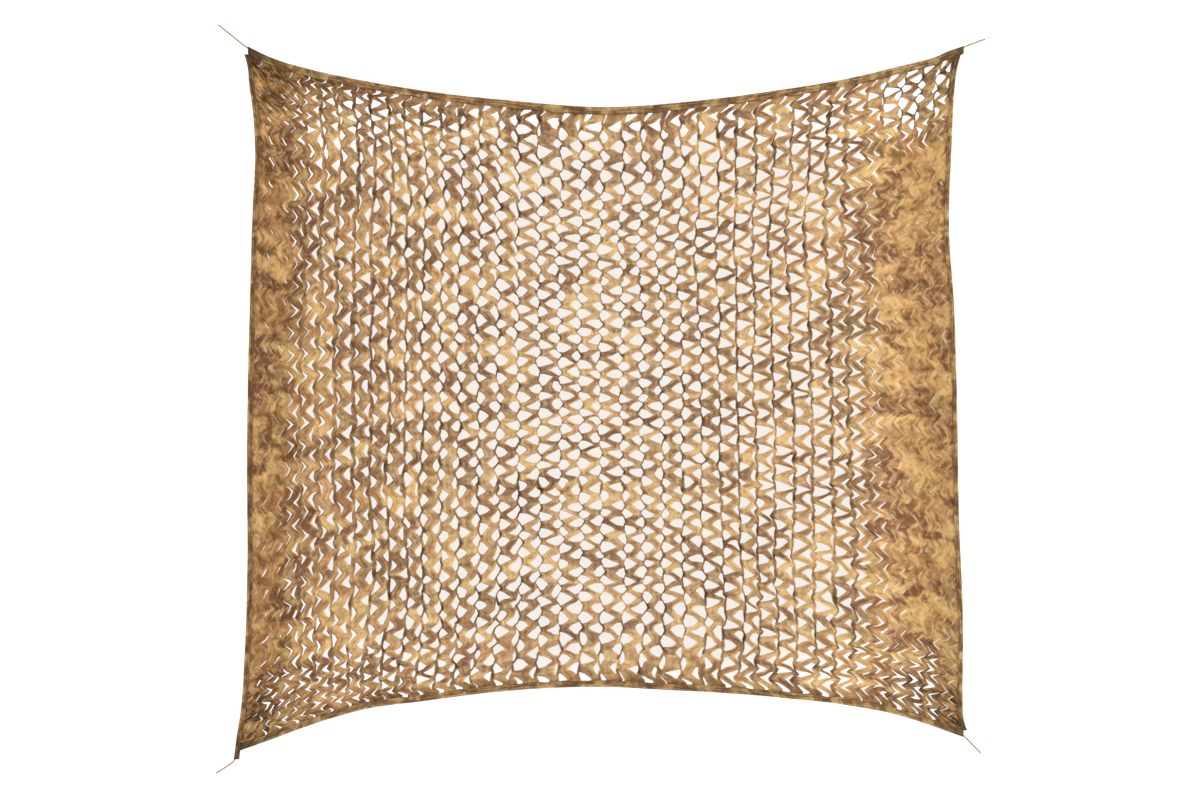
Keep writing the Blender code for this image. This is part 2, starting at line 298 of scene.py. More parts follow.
# Each cord's route from its mouth, in millimetres. Columns: across, height.
CORD_ROUTES = {
    "tie_cord_tl": ((-994, 161), (-1001, 165), (-1014, 174), (-1048, 201), (-1084, 230)),
    "tie_cord_tr": ((995.5, 164.3), (1003, 167), (1014, 172), (1038, 181), (1063, 190)),
    "tie_cord_bl": ((-1036, -1818), (-1037, -1826), (-1045, -1835), (-1066, -1850), (-1090, -1865)),
    "tie_cord_br": ((994.5, -1757), (1002, -1760), (1012, -1769), (1031, -1789), (1051, -1809)),
}


def distances(points):
    """How far along a row of points each of them lies."""
    steps = np.linalg.norm(np.diff(points, axis=0), axis=1)
    return np.concatenate(([0.0], np.cumsum(steps)))


def route_points(route):
    """Evenly spaced points on a smooth curve through a route's own points."""
    own = np.array(route, float)
    along = distances(own)
    steps = np.linspace(0, along[-1], CORD_POINTS)
    across = curve_through(list(zip(along, own[:, 0])), steps)
    height = curve_through(list(zip(along, own[:, 1])), steps)
    return np.stack([across * MM, np.zeros(CORD_POINTS), height * MM], axis=1)


for name, route in CORD_ROUTES.items():
    print(name, "length, mm:", round(distances(route_points(route))[-1] / MM, 1))

# %% Laid cord
LAY_LENGTH = 17 * MM         # one full turn of the strands
STRANDS = 3
GROOVE = 0.16                # depth of the grooves between them, as a share of the radius
ROUND = 18                   # points round the section
CORD_RINGS = 64


def laid_section(turn):
    """Points round three strands, as (sideways, up), the section turned by an angle."""
    found = []
    for step in range(ROUND):
        angle = tau * step / ROUND
        crown = abs(cos(STRANDS * (angle - turn) / 2)) ** 0.6
        radius = CORD / 2 * (1 - GROOVE + GROOVE * crown)
        found.append((radius * cos(angle), radius * sin(angle)))
    return found


def laid_cord(name, points, finish):
    """A tube with three turning lobes along a path, closed at both ends."""
    along = distances(points)
    places = np.linspace(0, along[-1], CORD_RINGS)
    path = np.stack([np.interp(places, along, points[:, axis]) for axis in range(3)], axis=1)
    heading = np.gradient(path, axis=0)
    heading /= np.linalg.norm(heading, axis=1)[:, None]
    work = bmesh.new()
    rings = []
    for place, middle, way in zip(places, path, heading):
        side = np.array((0.0, 1.0, 0.0))
        up = np.cross(way, side)
        section = laid_section(tau * place / LAY_LENGTH)
        rings.append([work.verts.new(middle + side * a + up * b) for a, b in section])
    for first, second in zip(rings, rings[1:]):
        for step in range(ROUND):
            after = (step + 1) % ROUND
            work.faces.new((first[step], first[after], second[after], second[step]))
    work.faces.new(rings[0][::-1])
    work.faces.new(rings[-1])
    bmesh.ops.recalc_face_normals(work, faces=work.faces)
    made = mesh_of(work, name)
    made.materials.append(finish)
    made.shade_smooth()
    made.set_sharp_from_angle(angle=radians(60))
    return linked(name, made)


print("rings a cord:", CORD_RINGS, "points a ring:", ROUND)

# %% [markdown]
# ## Materials
# A material here is a node tree built in code. Small helpers keep that short: the first
# makes a node, sets its plain values and links what is given as another node's output.
# Colours are given as sRGB bytes, the way a dyer's chart lists them, and turned into the
# linear numbers that Blender uses.

# %% Node helpers
def linear(red, green, blue):
    """An sRGB colour in bytes as the linear colour of a shader."""
    bytes_in = np.array((red, green, blue)) / 255
    low = bytes_in / 12.92
    high = ((bytes_in + 0.055) / 1.055) ** 2.4
    return (*np.where(bytes_in <= 0.04045, low, high).tolist(), 1.0)


def output_of(tree, kind, inputs=None, settings=None, out=0):
    """Makes a node and gives one output. Inputs are plain values, or outputs to link from."""
    made = tree.nodes.new(kind)
    for name, value in (settings or {}).items():
        setattr(made, name, value)
    for name, value in (inputs or {}).items():
        if isinstance(value, bpy.types.NodeSocket):
            tree.links.new(value, made.inputs[name])
        else:
            made.inputs[name].default_value = value
    return made.outputs[out]


def math(tree, operation, *values, kind="ShaderNodeMath"):
    return output_of(tree, kind, dict(enumerate(values)), {"operation": operation})


def vector_math(tree, operation, *values):
    return math(tree, operation, *values, kind="ShaderNodeVectorMath")


def times(tree, first, second):
    return math(tree, "MULTIPLY", first, second)


def plus(tree, first, second):
    return math(tree, "ADD", first, second)


def noise(tree, place, scale, detail=2.0, roughness=0.5, kind="FBM", out="Fac"):
    """The value of a noise pattern at a place."""
    return output_of(tree, "ShaderNodeTexNoise", {
        "Vector": place, "Scale": scale, "Detail": detail, "Roughness": roughness,
    }, {"noise_type": kind}, out)


def between(tree, value, low, high):
    """0 below low, 1 above high, and a smooth step between."""
    return output_of(tree, "ShaderNodeMapRange", {
        "Value": value, "From Min": low, "From Max": high,
    }, {"interpolation_type": "SMOOTHSTEP"})


def mixed(tree, share, first, second):
    """Two colours mixed by a share."""
    inputs = {0: share, 6: first, 7: second}
    return output_of(tree, "ShaderNodeMix", inputs, {"data_type": "RGBA"}, 2)


def layered(tree, colour, layers):
    """A colour under layers, each a mask, how strong it is and its own colour."""
    for mask, strength, tint in layers:
        colour = mixed(tree, times(tree, mask, strength), colour, linear(*tint))
    return colour


def shifted(tree, place, offset, stretch=(1, 1, 1)):
    """The same place moved and stretched, so that patterns don't fall on each other."""
    return output_of(tree, "ShaderNodeMapping", {
        "Vector": place, "Location": offset, "Scale": stretch,
    })


def uv_map(tree, name):
    return output_of(tree, "ShaderNodeUVMap", settings={"uv_map": name})


def mark(tree, name):
    """A number that the mesh carries at each point."""
    return output_of(tree, "ShaderNodeAttribute", settings={"attribute_name": name}, out="Fac")


def bump(tree, height, strength, distance, under=None):
    """A normal bent by a height, over another bump if one is given."""
    inputs = {"Height": height, "Strength": strength, "Distance": distance}
    if under:
        inputs["Normal"] = under
    return output_of(tree, "ShaderNodeBump", inputs)


print("a middle tan is, in linear numbers:", [round(part, 3) for part in linear(170, 128, 88)])

# %% [markdown]
# ### What the camera sees behind the net
# The lamps' world is a dim white, but the camera sees a bright one, as in a light tent.
# Behind the net the camera's white is painted dimmer and warm: a painted shadow of the net, warm with
# the light that comes through tan cloth. It fades out beyond the net's outline.

# %% The tent's colour
# the painted shadow of the net that the camera sees behind it
TENT_PAINTED_SHADOW = (0.925, 0.862, 0.802, 1.0)
TENT_WHITE = (1.12, 1.12, 1.12, 1.0)
TENT_DISTANCE = CAMERA_DISTANCE + WALL
TENT_WIDTH = 0.72            # how fast the tint fades sideways, against up and down
TENT_FADE = (0.60, 1.12)

tree = world.node_tree
way = output_of(tree, "ShaderNodeSeparateXYZ", {
    0: output_of(tree, "ShaderNodeTexCoord", out="Generated"),
}).node.outputs
ahead = math(tree, "MAXIMUM", way["Y"], 0.01)
across, height = (times(tree, math(tree, "DIVIDE", way[axis], ahead), TENT_DISTANCE)
                  for axis in "XZ")
across, height = times(tree, times(tree, across, across), TENT_WIDTH), times(tree, height, height)
beyond = plus(tree, times(tree, across, across), times(tree, height, height))
seen = mixed(tree, between(tree, beyond, *TENT_FADE), TENT_PAINTED_SHADOW, TENT_WHITE)
either = output_of(tree, "ShaderNodeMixShader", {
    0: output_of(tree, "ShaderNodeLightPath", out="Is Camera Ray"),
    1: tree.nodes["Background"].outputs[0],
    2: output_of(tree, "ShaderNodeBackground", {"Color": seen, "Strength": 1.0}),
})
tree.links.new(either, tree.nodes["World Output"].inputs["Surface"])
print("world nodes:", len(tree.nodes))

# %% [markdown]
# ### The print
# A desert print is a few flat colours in ragged patches: tan cloth, lighter sand and gold
# patches, purplish brown ones and a few of olive. Each colour after the first is a mask
# made from a noise pattern cut off at a level. A finer noise bends the pattern's place, so
# that borders are ragged and not round. A broader one raises the level in some areas, so
# that the gold and the brown patches gather there. A painted image could hold the print
# too, but noise needs no file and never repeats.

# %% The print's colours
TAN = linear(188, 142, 98)
# the painted shade on a cut edge that faces away from the lamp
SHADED_CUT_EDGE = (84, 52, 28)
WIDE = (0.65, 1.0, 1.0)      # the patches are broader than they are tall
GATHERED = 0.34              # how strongly the broad noise gathers patches
# Columns: colour, noise's offset, scale and detail, broad noise's offset and scale, levels.
PATCHES = (
    ((212, 172, 124), (7.1, 3.3, 0), 17.0, 2.0, None, (0.46, 0.60)),
    ((232, 196, 136), (1.7, 9.2, 0), 12.0, 3.0, ((9.4, 1.9, 0), 6.0), (0.652, 0.742)),
    ((142, 102, 76), (4.9, 5.8, 0), 11.5, 3.0, ((5.2, 7.7, 0), 5.5), (0.658, 0.728)),
    ((144, 116, 72), (8.4, 0.6, 0), 14.0, 2.0, None, (0.62, 0.68)),
)


def camouflage(tree, place):
    """The printed colour at a place on the flat cloth."""
    bend = noise(tree, place, 22.0, 3.0, 0.6, out="Color")
    bend = vector_math(tree, "SUBTRACT", bend, (0.5, 0.5, 0.5))
    ragged = vector_math(tree, "MULTIPLY_ADD", bend, (0.05, 0.05, 0.0), place)
    colour = TAN
    for tint, offset, scale, detail, area, levels in PATCHES:
        level = noise(tree, shifted(tree, ragged, offset, WIDE), scale, detail)
        if area:
            broad = noise(tree, shifted(tree, place, area[0]), area[1], 1.0)
            level = plus(tree, level, times(tree, broad, GATHERED))
        colour = mixed(tree, between(tree, level, *levels), colour, linear(*tint))
    return colour


print("print colours:", 1 + len(PATCHES))

# %% [markdown]
# ### Net cloth
# The print follows the flat cloth, so it is read through a UV map that holds each point's
# place before the cloth was pulled open. Point attributes mark the cut edges and where the
# folds lie, and the finish paints light and shade by them: painted shade on cut edges away
# from the lamp, broken up in patches, and painted highlights on the others; painted
# highlights on fold crests and painted shade in troughs and in the spines' folds. The
# coating makes small sharp creases: one Bump node for these and one, finer and weaker, for
# the weave.

# %% Net cloth finish
NO_SHADE = (1.0, 1.0, 1.0, 1.0)
BINDING_AND_CORNER_SHADE = (0.42, 0.36, 0.31, 1.0)
SHUT_SHADE = (1.04, 0.95, 0.80, 1.0)
LIGHT_THROUGH = 0.25         # share of the light that goes through the cloth


def creases(tree, place, strength, scale):
    """A normal with sharp creases and the weave."""
    sharp = noise(tree, place, scale, 3.0, 0.55, "RIDGED_MULTIFRACTAL")
    crease = bump(tree, sharp, strength, 0.006)
    return bump(tree, noise(tree, place, 1400.0, 1.0), 0.25, 0.0005, crease)


def net_cloth_finish():
    made, tree, shader = new_finish("net_cloth", 0.56, 0.2)
    place = uv_map(tree, "flat_cloth")
    rust = noise(tree, shifted(tree, place, (3.1, 2.2, 0)), 75.0)
    edge_shade_patches = between(tree, noise(tree, place, 38.0, 1.0), 0.36, 0.60)
    along_slits = shifted(tree, uv_map(tree, "slit_lines"), (2.2, 6.1, 0), (1.0, 0.30, 1.0))
    streak = noise(tree, along_slits, 64.0, 3.0, 0.6)
    along_folds = shifted(tree, uv_map(tree, "crumple_lines"), (4.1, 8.3, 0), (0.28, 1.0, 1.0))
    fold = noise(tree, along_folds, 70.0, 3.0, 0.6)
    thin, leg, cut = (mark(tree, name) for name in ("pulled_thin", "leg_tone", "cut_edge"))
    shut = math(tree, "SUBTRACT", 1.0, thin)
    patchy_edge_shade = times(tree, edge_shade_patches, math(tree, "MULTIPLY_ADD", thin, 0.55, 0.45))
    crumpled = mark(tree, "crumpled")
    colour = layered(tree, camouflage(tree, place), (
        (between(tree, rust, 0.52, 0.64), 0.50, (150, 88, 54)),
        (between(tree, noise(tree, place, 60.0, 3.0), 0.46, 0.64), 0.42, (250, 218, 156)),
        # painted light through the cloth where it is pulled open to one layer
        (thin, 0.12, (248, 224, 188)),
        # painted highlights and painted shade in streaks along the slits, for the folds where the cloth
        # is gathered shut
        (times(tree, between(tree, streak, 0.52, 0.66), shut), 0.68, (244, 214, 162)),
        (times(tree, between(tree, streak, 0.48, 0.34), shut), 0.52, (102, 70, 46)),
        # painted shade and painted light on each leg, by how it faces the lamp
        (between(tree, leg, 0.25, -0.9), 0.40, (128, 84, 54)),
        (between(tree, leg, 0.35, 1.1), 0.30, (244, 212, 160)),
        # painted highlights on the fold crests and painted shade in the trough between them
        (between(tree, mark(tree, "crest"), 0.25, 0.95), 0.36, (250, 220, 164)),
        (between(tree, mark(tree, "valley"), 0.20, 0.90), 0.34, (112, 74, 46)),
        # painted shade on cut edges away from the lamp, broken up in patches, and painted highlights on
        # the edges that catch the light
        (times(tree, between(tree, cut, 0.0, 1.0), patchy_edge_shade), 1.0, SHADED_CUT_EDGE),
        (between(tree, cut, 0.0, -1.0), 0.55, (255, 232, 190)),
        # painted shade deep in the spines' folds
        (mark(tree, "gutter"), 0.95, (42, 27, 17)),
    ))
    # painted shade near the bindings and in the crumpled corners, and darker, warmer painted shade where
    # the cloth is gathered shut
    for place_in_shade, shade in ((mark(tree, "tucked"), BINDING_AND_CORNER_SHADE), (shut, SHUT_SHADE)):
        shade = mixed(tree, place_in_shade, NO_SHADE, shade)
        colour = vector_math(tree, "MULTIPLY", colour, shade)
    # painted shade and painted highlights of the folds in the crumpled corners
    colour = layered(tree, colour, (
        (times(tree, between(tree, fold, 0.50, 0.40), crumpled), 0.85, (46, 31, 18)),
        (times(tree, between(tree, fold, 0.53, 0.64), crumpled), 0.72, (218, 170, 94)),
    ))
    surface = creases(tree, place, 1.0, 34.0)
    tree.links.new(colour, shader.inputs["Base Color"])
    tree.links.new(surface, shader.inputs["Normal"])
    shader.inputs["Sheen Weight"].default_value = 0.05
    through = output_of(tree, "ShaderNodeBsdfTranslucent", {"Color": colour, "Normal": surface})
    both = output_of(tree, "ShaderNodeMixShader", {
        0: LIGHT_THROUGH, 1: shader.outputs["BSDF"], 2: through,
    })
    tree.links.new(both, tree.nodes["Material Output"].inputs["Surface"])
    return made


net_finish = net_cloth_finish()
print("net cloth nodes:", len(net_finish.node_tree.nodes))

# %% [markdown]
# ### Binding cloth, cord and thread
# The bindings are cut from the same cloth, but handled more: darker, with painted shade in
# a line where the fold turns over the rope, and at the rim and the hem. Streaks along each
# band are painted highlights and painted shade of fine wrinkles, and each band has painted
# shade towards both ends. The cord is pale fibre with fine streaks, and the thread is
# brown. Each could be one flat colour, but cloth that has been handled never is. So all of
# them take a second colour from a fine noise.

# %% Binding, cord and thread finishes
def binding_finish():
    made, tree, shader = new_finish("binding_cloth", 0.6, 0.2)
    place = uv_map(tree, "strip")
    colour = camouflage(tree, shifted(tree, place, (2.6, 1.4, 0), (2.4, 2.0, 1.0)))
    line = noise(tree, shifted(tree, place, (1.9, 0.7, 0), (0.12, 2.6, 1.0)), 120.0)
    colour = layered(tree, colour, (
        (0.25, 1.0, (176, 128, 64)),
        (between(tree, noise(tree, place, 48.0), 0.45, 0.60), 0.58, (92, 62, 36)),
        # painted highlights and painted shade in streaks along the band, for its fine wrinkles
        (between(tree, line, 0.52, 0.64), 0.50, (228, 188, 116)),
        (between(tree, line, 0.47, 0.36), 0.50, (84, 58, 32)),
        # painted shade towards both ends of the band
        (mark(tree, "gathered"), 0.76, (62, 47, 28)),
        # painted shade along the rim, beside the rope and along the hem
        (mark(tree, "fold_line"), 0.78, (84, 58, 30)),
    ))
    tree.links.new(colour, shader.inputs["Base Color"])
    tree.links.new(creases(tree, place, 0.5, 60.0), shader.inputs["Normal"])
    return made


def fibre_finish(name, roughness, specular, scale, detail, levels, colours):
    """A finish of two colours in fine specks, and the place it reads."""
    made, tree, shader = new_finish(name, roughness, specular)
    place = output_of(tree, "ShaderNodeTexCoord", out="Object")
    share = between(tree, noise(tree, place, scale, detail), *levels)
    colour = mixed(tree, share, *(linear(*tint) for tint in colours))
    tree.links.new(colour, shader.inputs["Base Color"])
    return made, tree, shader, place


def cord_finish():
    made, tree, shader, place = fibre_finish(
        "cord_fibre", 0.85, 0.05, 420.0, 2.0, (0.3, 0.7), ((150, 128, 94), (206, 182, 142)))
    fuzz = bump(tree, noise(tree, place, 1500.0, 1.0), 0.4, 0.0004)
    tree.links.new(fuzz, shader.inputs["Normal"])
    return made


strip_finish = binding_finish()
thread, *_ = fibre_finish(
    "thread", 0.5, 0.5, 900.0, 1.0, (0.35, 0.65), ((84, 62, 38), (150, 118, 74)))
rope_finish = cord_finish()
print("finishes:", net_finish.name, strip_finish.name, rope_finish.name, thread.name)

# %% Make the cords
for name, route in CORD_ROUTES.items():
    points = route_points(route)
    cord = laid_cord(name + "_laid", points, rope_finish)
    length = float(distances(points)[-1])
    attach(cord, BODY)
    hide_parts(name)
    print(cord.name, "faces:", len(cord.data.polygons))

# %% [markdown]
# ## The net, flat
# The flat cloth is one small pattern repeated in columns and rows. A repeat is a spine,
# which runs down the net, and to its right a broader strip. Slits part them, but in the
# middle of each row the strip stays joined to its spine, and between two rows to the next
# spine. So only one repeat is drawn, with a thin gap for each slit, and Geometry
# Nodes lay it out on a grid and merge where the repeats touch.
#
# The slits zigzag with the rows, so every line across a repeat is shifted by the same
# tooth-shaped wave.

# %% One repeat of the flat cloth
COLUMNS = 38
ROWS = 32
REPEAT = 44 * MM             # width of a repeat
ROW = 62 * MM                # height of a repeat
SPINE = 17 * MM              # width of a spine
KERF = 1.0 * MM              # width of a slit
TOOTH = 9 * MM               # how far the slits' zigzag swings to each side
POINT = 0.12                 # how far beside a hole's tip its edge is bent, as a share of a row
JOINT = 0.20                 # half the height of a joint between spine and strip
STRIP_STEPS = 4              # faces across a strip
HALF_LINES = (0, POINT, JOINT, 0.25, 0.5 - JOINT, 0.5 - POINT)
LINES = HALF_LINES + tuple(0.5 + share for share in HALF_LINES) + (1,)
JUST_OVER = JOINT + 1e-6     # a line at a joint's own end is still joined


def tooth(rows_down):
    """The zigzag's swing at a place down the net, from -1 (left) to 1 (right)."""
    return 1 - 4 * np.abs(rows_down - np.round(rows_down))


def repeat_object(name, with_strip):
    """One repeat of the flat cloth: a spine, and beside it a strip."""
    work = bmesh.new()
    rows = []
    for share in LINES:
        # A spine's right side is joined round the middle of a row, its left side between rows.
        right_gap = KERF / 2 if abs(share - 0.5) > JUST_OVER else 0
        left_gap = KERF / 2 if JUST_OVER < share < 1 - JUST_OVER else 0
        spine = (-SPINE / 2 + left_gap, 0, SPINE / 2 - right_gap)
        strip = np.linspace(SPINE / 2 + right_gap, REPEAT - SPINE / 2 - left_gap, STRIP_STEPS + 1)
        swing = TOOTH * float(tooth(share))
        rows.append([[work.verts.new((x + swing, share * ROW, 0)) for x in part]
                     for part in (spine, strip if with_strip else ())])
    for upper, lower in zip(rows, rows[1:]):
        for above, below in zip(upper, lower):
            for step in range(len(above) - 1):
                work.faces.new((above[step], above[step + 1], below[step + 1], below[step]))
    return bpy.data.objects.new(name, mesh_of(work, name))


one_repeat = repeat_object("one_repeat", True)
last_spine = repeat_object("last_spine", False)
print("faces in a repeat:", len(one_repeat.data.polygons))

# %% [markdown]
# The tree below has named inputs for its sizes. A Grid node gives one point for each
# repeat and a Mesh Line gives the points of the last spine. Instances are placed on both,
# made real, and merged within a tenth of a millimetre, which is far less than a slit.

# %% Geometry Nodes: lay out the repeats
MERGE_WITHIN = 0.1 * MM


def start_tree(name, kinds):
    """A new tree, its named inputs, and their identifiers by name."""
    tree = bpy.data.node_groups.new(name, "GeometryNodeTree")
    names = {}
    for label, kind in {"Geometry": "Geometry", **kinds}.items():
        made = tree.interface.new_socket(label, in_out="INPUT", socket_type="NodeSocket" + kind)
        names[label] = made.identifier
    tree.interface.new_socket("Geometry", in_out="OUTPUT", socket_type="NodeSocketGeometry")
    return tree, tree.nodes.new("NodeGroupInput").outputs, names


def end_tree(tree, geometry, material):
    """Gives the tree's geometry its material and ends the tree."""
    finished = output_of(tree, "GeometryNodeSetMaterial", {
        "Geometry": geometry, "Material": material,
    })
    tree.links.new(finished, tree.nodes.new("NodeGroupOutput").inputs[0])


def made_real(tree, geometry):
    return output_of(tree, "GeometryNodeRealizeInstances", {"Geometry": geometry})


def vector(tree, x=0.0, y=0.0):
    return output_of(tree, "ShaderNodeCombineXYZ", {"X": x, "Y": y})


def placed_on(tree, points, thing):
    """An object's mesh on every point."""
    shape = output_of(tree, "GeometryNodeObjectInfo", {"Object": thing}, out="Geometry")
    return output_of(tree, "GeometryNodeInstanceOnPoints", {
        "Points": points, "Instance": shape,
    })


def lattice_tree():
    """A tree that repeats the flat pattern, and its inputs' identifiers by name."""
    tree, given, names = start_tree("slit_cloth", {
        "Repeat": "Object", "Last Spine": "Object", "Columns": "Int", "Rows": "Int",
        "Width": "Float", "Height": "Float", "Merge": "Float", "Cloth": "Material",
    })
    span_x = times(tree, math(tree, "SUBTRACT", given["Columns"], 1.0), given["Width"])
    span_y = times(tree, math(tree, "SUBTRACT", given["Rows"], 1.0), given["Height"])
    grid = output_of(tree, "GeometryNodeMeshGrid", {
        "Size X": span_x, "Size Y": span_y,
        "Vertices X": given["Columns"], "Vertices Y": given["Rows"],
    })
    # The grid is centred on the origin, and the first repeat belongs at the origin.
    half = vector(tree, times(tree, span_x, 0.5), times(tree, span_y, 0.5))
    moved = output_of(tree, "GeometryNodeTransform", {"Geometry": grid, "Translation": half})
    end = output_of(tree, "GeometryNodeMeshLine", {
        "Count": given["Rows"],
        "Start Location": vector(tree, times(tree, given["Columns"], given["Width"])),
        "Offset": vector(tree, y=given["Height"]),
    })
    joined = tree.nodes.new("GeometryNodeJoinGeometry")
    for points, label in ((moved, "Repeat"), (end, "Last Spine")):
        tree.links.new(placed_on(tree, points, given[label]), joined.inputs[0])
    merged = output_of(tree, "GeometryNodeMergeByDistance", {
        "Geometry": made_real(tree, joined.outputs[0]), "Distance": given["Merge"],
    })
    end_tree(tree, merged, given["Cloth"])
    return tree, names


def made_by_nodes(name, tree, names, values, start=None):
    """Runs a tree on a mesh, empty if none is given, and keeps the result as a plain mesh."""
    carrier = linked(name + "_carrier", start or bpy.data.meshes.new(name + "_start"))
    modifier = carrier.modifiers.new("nodes", "NODES")
    modifier.node_group = tree
    for label, value in values.items():
        modifier[names[label]] = value
    graph = bpy.context.evaluated_depsgraph_get()
    made = bpy.data.meshes.new_from_object(carrier.evaluated_get(graph))
    made.name = name
    bpy.data.objects.remove(carrier)
    return made


flat_net = made_by_nodes("net_of_cut_cloth", *lattice_tree(), {
    "Repeat": one_repeat, "Last Spine": last_spine, "Columns": COLUMNS, "Rows": ROWS,
    "Width": REPEAT, "Height": ROW, "Merge": MERGE_WITHIN, "Cloth": net_finish,
})
bpy.data.objects.remove(one_repeat)
bpy.data.objects.remove(last_spine)
print("flat net: points", len(flat_net.vertices), "faces", len(flat_net.polygons))

# %% [markdown]
# ### The margin
# Outside the slits the cloth has an uncut margin, which goes into the bindings. The
# net's outer edges are extruded once on each side to make it.

# %% Margin
MARGIN = 14 * MM
SWING_ROOM = TOOTH + SPINE / 2 + 2 * MM      # a side's zigzag rim stays this near its line
RIM_LEVEL = 0.01 * MM
RIGHT_AT = COLUMNS * REPEAT


def rim_edges(work, axis, at, reach):
    """The open edges whose ends both lie near a line on the flat cloth."""
    return [side for side in work.edges if side.is_boundary
            and all(abs(point.co[axis] - at) < reach for point in side.verts)]


def side_edges(work, at, outwards):
    """The open edges on the outer side of a column's middle line."""
    return [side for side in rim_edges(work, 0, at, SWING_ROOM)
            if all(outwards * (point.co.x - at - TOOTH * tooth(point.co.y / ROW)) > 0
                   for point in side.verts)]


def add_margin(work, edges, across, down):
    """Extrudes edges outwards on the flat cloth."""
    for point in bmesh.ops.extrude_edge_only(work, edges=edges)["geom"]:
        if isinstance(point, bmesh.types.BMVert):
            point.co += Vector((across * MARGIN, down * MARGIN, 0))


work = bmesh.new()
work.from_mesh(flat_net)
add_margin(work, rim_edges(work, 1, 0, RIM_LEVEL), 0, -1)
add_margin(work, rim_edges(work, 1, ROWS * ROW, RIM_LEVEL), 0, 1)
add_margin(work, side_edges(work, 0, -1), -1, 0)
add_margin(work, side_edges(work, RIGHT_AT, 1), 1, 0)
work.to_mesh(flat_net)
work.free()

# %% [markdown]
# ## How far the slits open
# Pulled sideways, the middle opens wide while the sides stay gathered and almost shut, and
# the corners tear open where the cords pull. Tables give this across the net, and four
# spots add the corners.

# %% Opening
# Uncut cloth beyond each binding: top, bottom, left, right.
SELVAGE = (7 * MM, 7 * MM, 3 * MM, 3 * MM)
ROPE_CLEARANCE = 3 * MM
# Columns: visible width of a binding, diameter of its rope's channel.
TOP_BAND = (21 * MM, 8 * MM)
BOTTOM_BAND = (18 * MM, 8 * MM)
LEFT_BAND = (15 * MM, 7.4 * MM)
RIGHT_BAND = (13 * MM, 7 * MM)
# Columns: share of the way across, opening.
OPENING = (
    (0.00, 0.00), (0.04, 0.04), (0.06, 0.28), (0.10, 0.46), (0.14, 0.54), (0.20, 0.64),
    (0.28, 0.78), (0.36, 0.90), (0.42, 1.00), (0.52, 0.97), (0.60, 0.90), (0.68, 0.82),
    (0.75, 0.79), (0.80, 0.74), (0.85, 0.58), (0.885, 0.30), (0.92, 0.05), (1.00, 0.00),
)
# Columns: share of the way across, width of a repeat against the others.
REPEAT_WIDTH = (
    (0.00, 15.0), (0.06, 16.2), (0.12, 17.4), (0.25, 17.8), (0.33, 19.2), (0.40, 20.8), (0.52, 20.8),
    (0.60, 19.6), (0.68, 18.6), (0.76, 18.6), (0.83, 19.4), (0.90, 17.4), (1.00, 15.6),
)
# Columns: share of the way across, height of a middle row against the mean one.
ROW_STRETCH = (
    (0.00, 1.10), (0.10, 1.13), (0.16, 1.12), (0.27, 1.08), (0.33, 1.04), (0.38, 0.98), (0.44, 0.95),
    (0.55, 0.94), (0.62, 0.95), (0.68, 0.97), (0.73, 1.00), (0.80, 1.04), (0.87, 1.07), (1.00, 1.08),
)
ROW_ENDS = 0.13              # the share of the height, at each end, where rows make up for that
# Columns: across, down, reach, opening.
OPEN_CORNERS = (
    (0.16, 0.09, 0.13, 0.62), (0.97, 0.00, 0.14, 0.90),
    (0.02, 1.00, 0.12, 0.36), (0.98, 1.00, 0.14, 0.50),
)
# Folds from storage, where the net stays partly shut. Columns: down, half height, from, to.
STORAGE_FOLDS = ((0.295, 0.012, 0.16, 0.56), (0.655, 0.014, 0.12, 0.72))
FOLD_SHUT = 0.4              # how much of the opening such a fold takes


def row_place(part, s):
    """Share of the way down that a share of the rows reaches."""
    middle = curve_through(ROW_STRETCH, s)
    outer = (1 - (1 - 2 * ROW_ENDS) * middle) / (2 * ROW_ENDS)
    from_end = np.minimum(part, 1 - part)
    reached = np.where(from_end < ROW_ENDS, from_end * outer,
                       ROW_ENDS * outer + (from_end - ROW_ENDS) * middle)
    return np.where(part < 0.5, reached, 1 - reached)


def opening(s, t):
    """How far the slits are pulled open at places on the net, from 0 to about 1."""
    from_end, from_side = np.minimum(t, 1 - t), np.minimum(s, 1 - s)
    found = curve_through(OPENING, s) * (1 - 0.28 * unit(1 - from_end / 0.10))
    for across, down, reach, pulled in OPEN_CORNERS:
        away = np.hypot(s - across, t - down)
        found = np.maximum(found, pulled * unit(2.2 * (1 - away / reach)))
    for down, half, start, end in STORAGE_FOLDS:
        found = found * (1 - FOLD_SHUT * unit(1 - np.abs(t - down) / half) * (s > start) * (s < end))
    at_end, at_side = unit(1 - from_end / 0.03), unit(1.4 - from_side / 0.03)
    at_side = at_side * np.where(s > 0.5, np.clip(t / 0.12, 0.3, 1), 1)
    return found * (1 - 0.5 * at_end) * (1 - 0.8 * at_side)


middles = (np.arange(COLUMNS) + 0.5) / COLUMNS
widths = curve_through(REPEAT_WIDTH, middles)
COLUMN_PLACES = np.concatenate(([0.0], np.cumsum(widths / widths.sum())))
print("opening at the middle and at the left edge:", opening(np.array([0.5, 0.02]), 0.5))

# %% [markdown]
# ## Chance
# No two holes of a real net are alike. There are two kinds of chance, both with fixed
# seeds: a smooth field of crossing waves, for what changes slowly over the cloth, and a
# table with one number for each hole.

# %% Chance
CROSSING_WAVES = 16
WAVE_SCALE = 5.0             # brings the sum of the waves to about -1 to 1
REPEAT_STEP = 0.05           # a column or a row counts as 50 mm


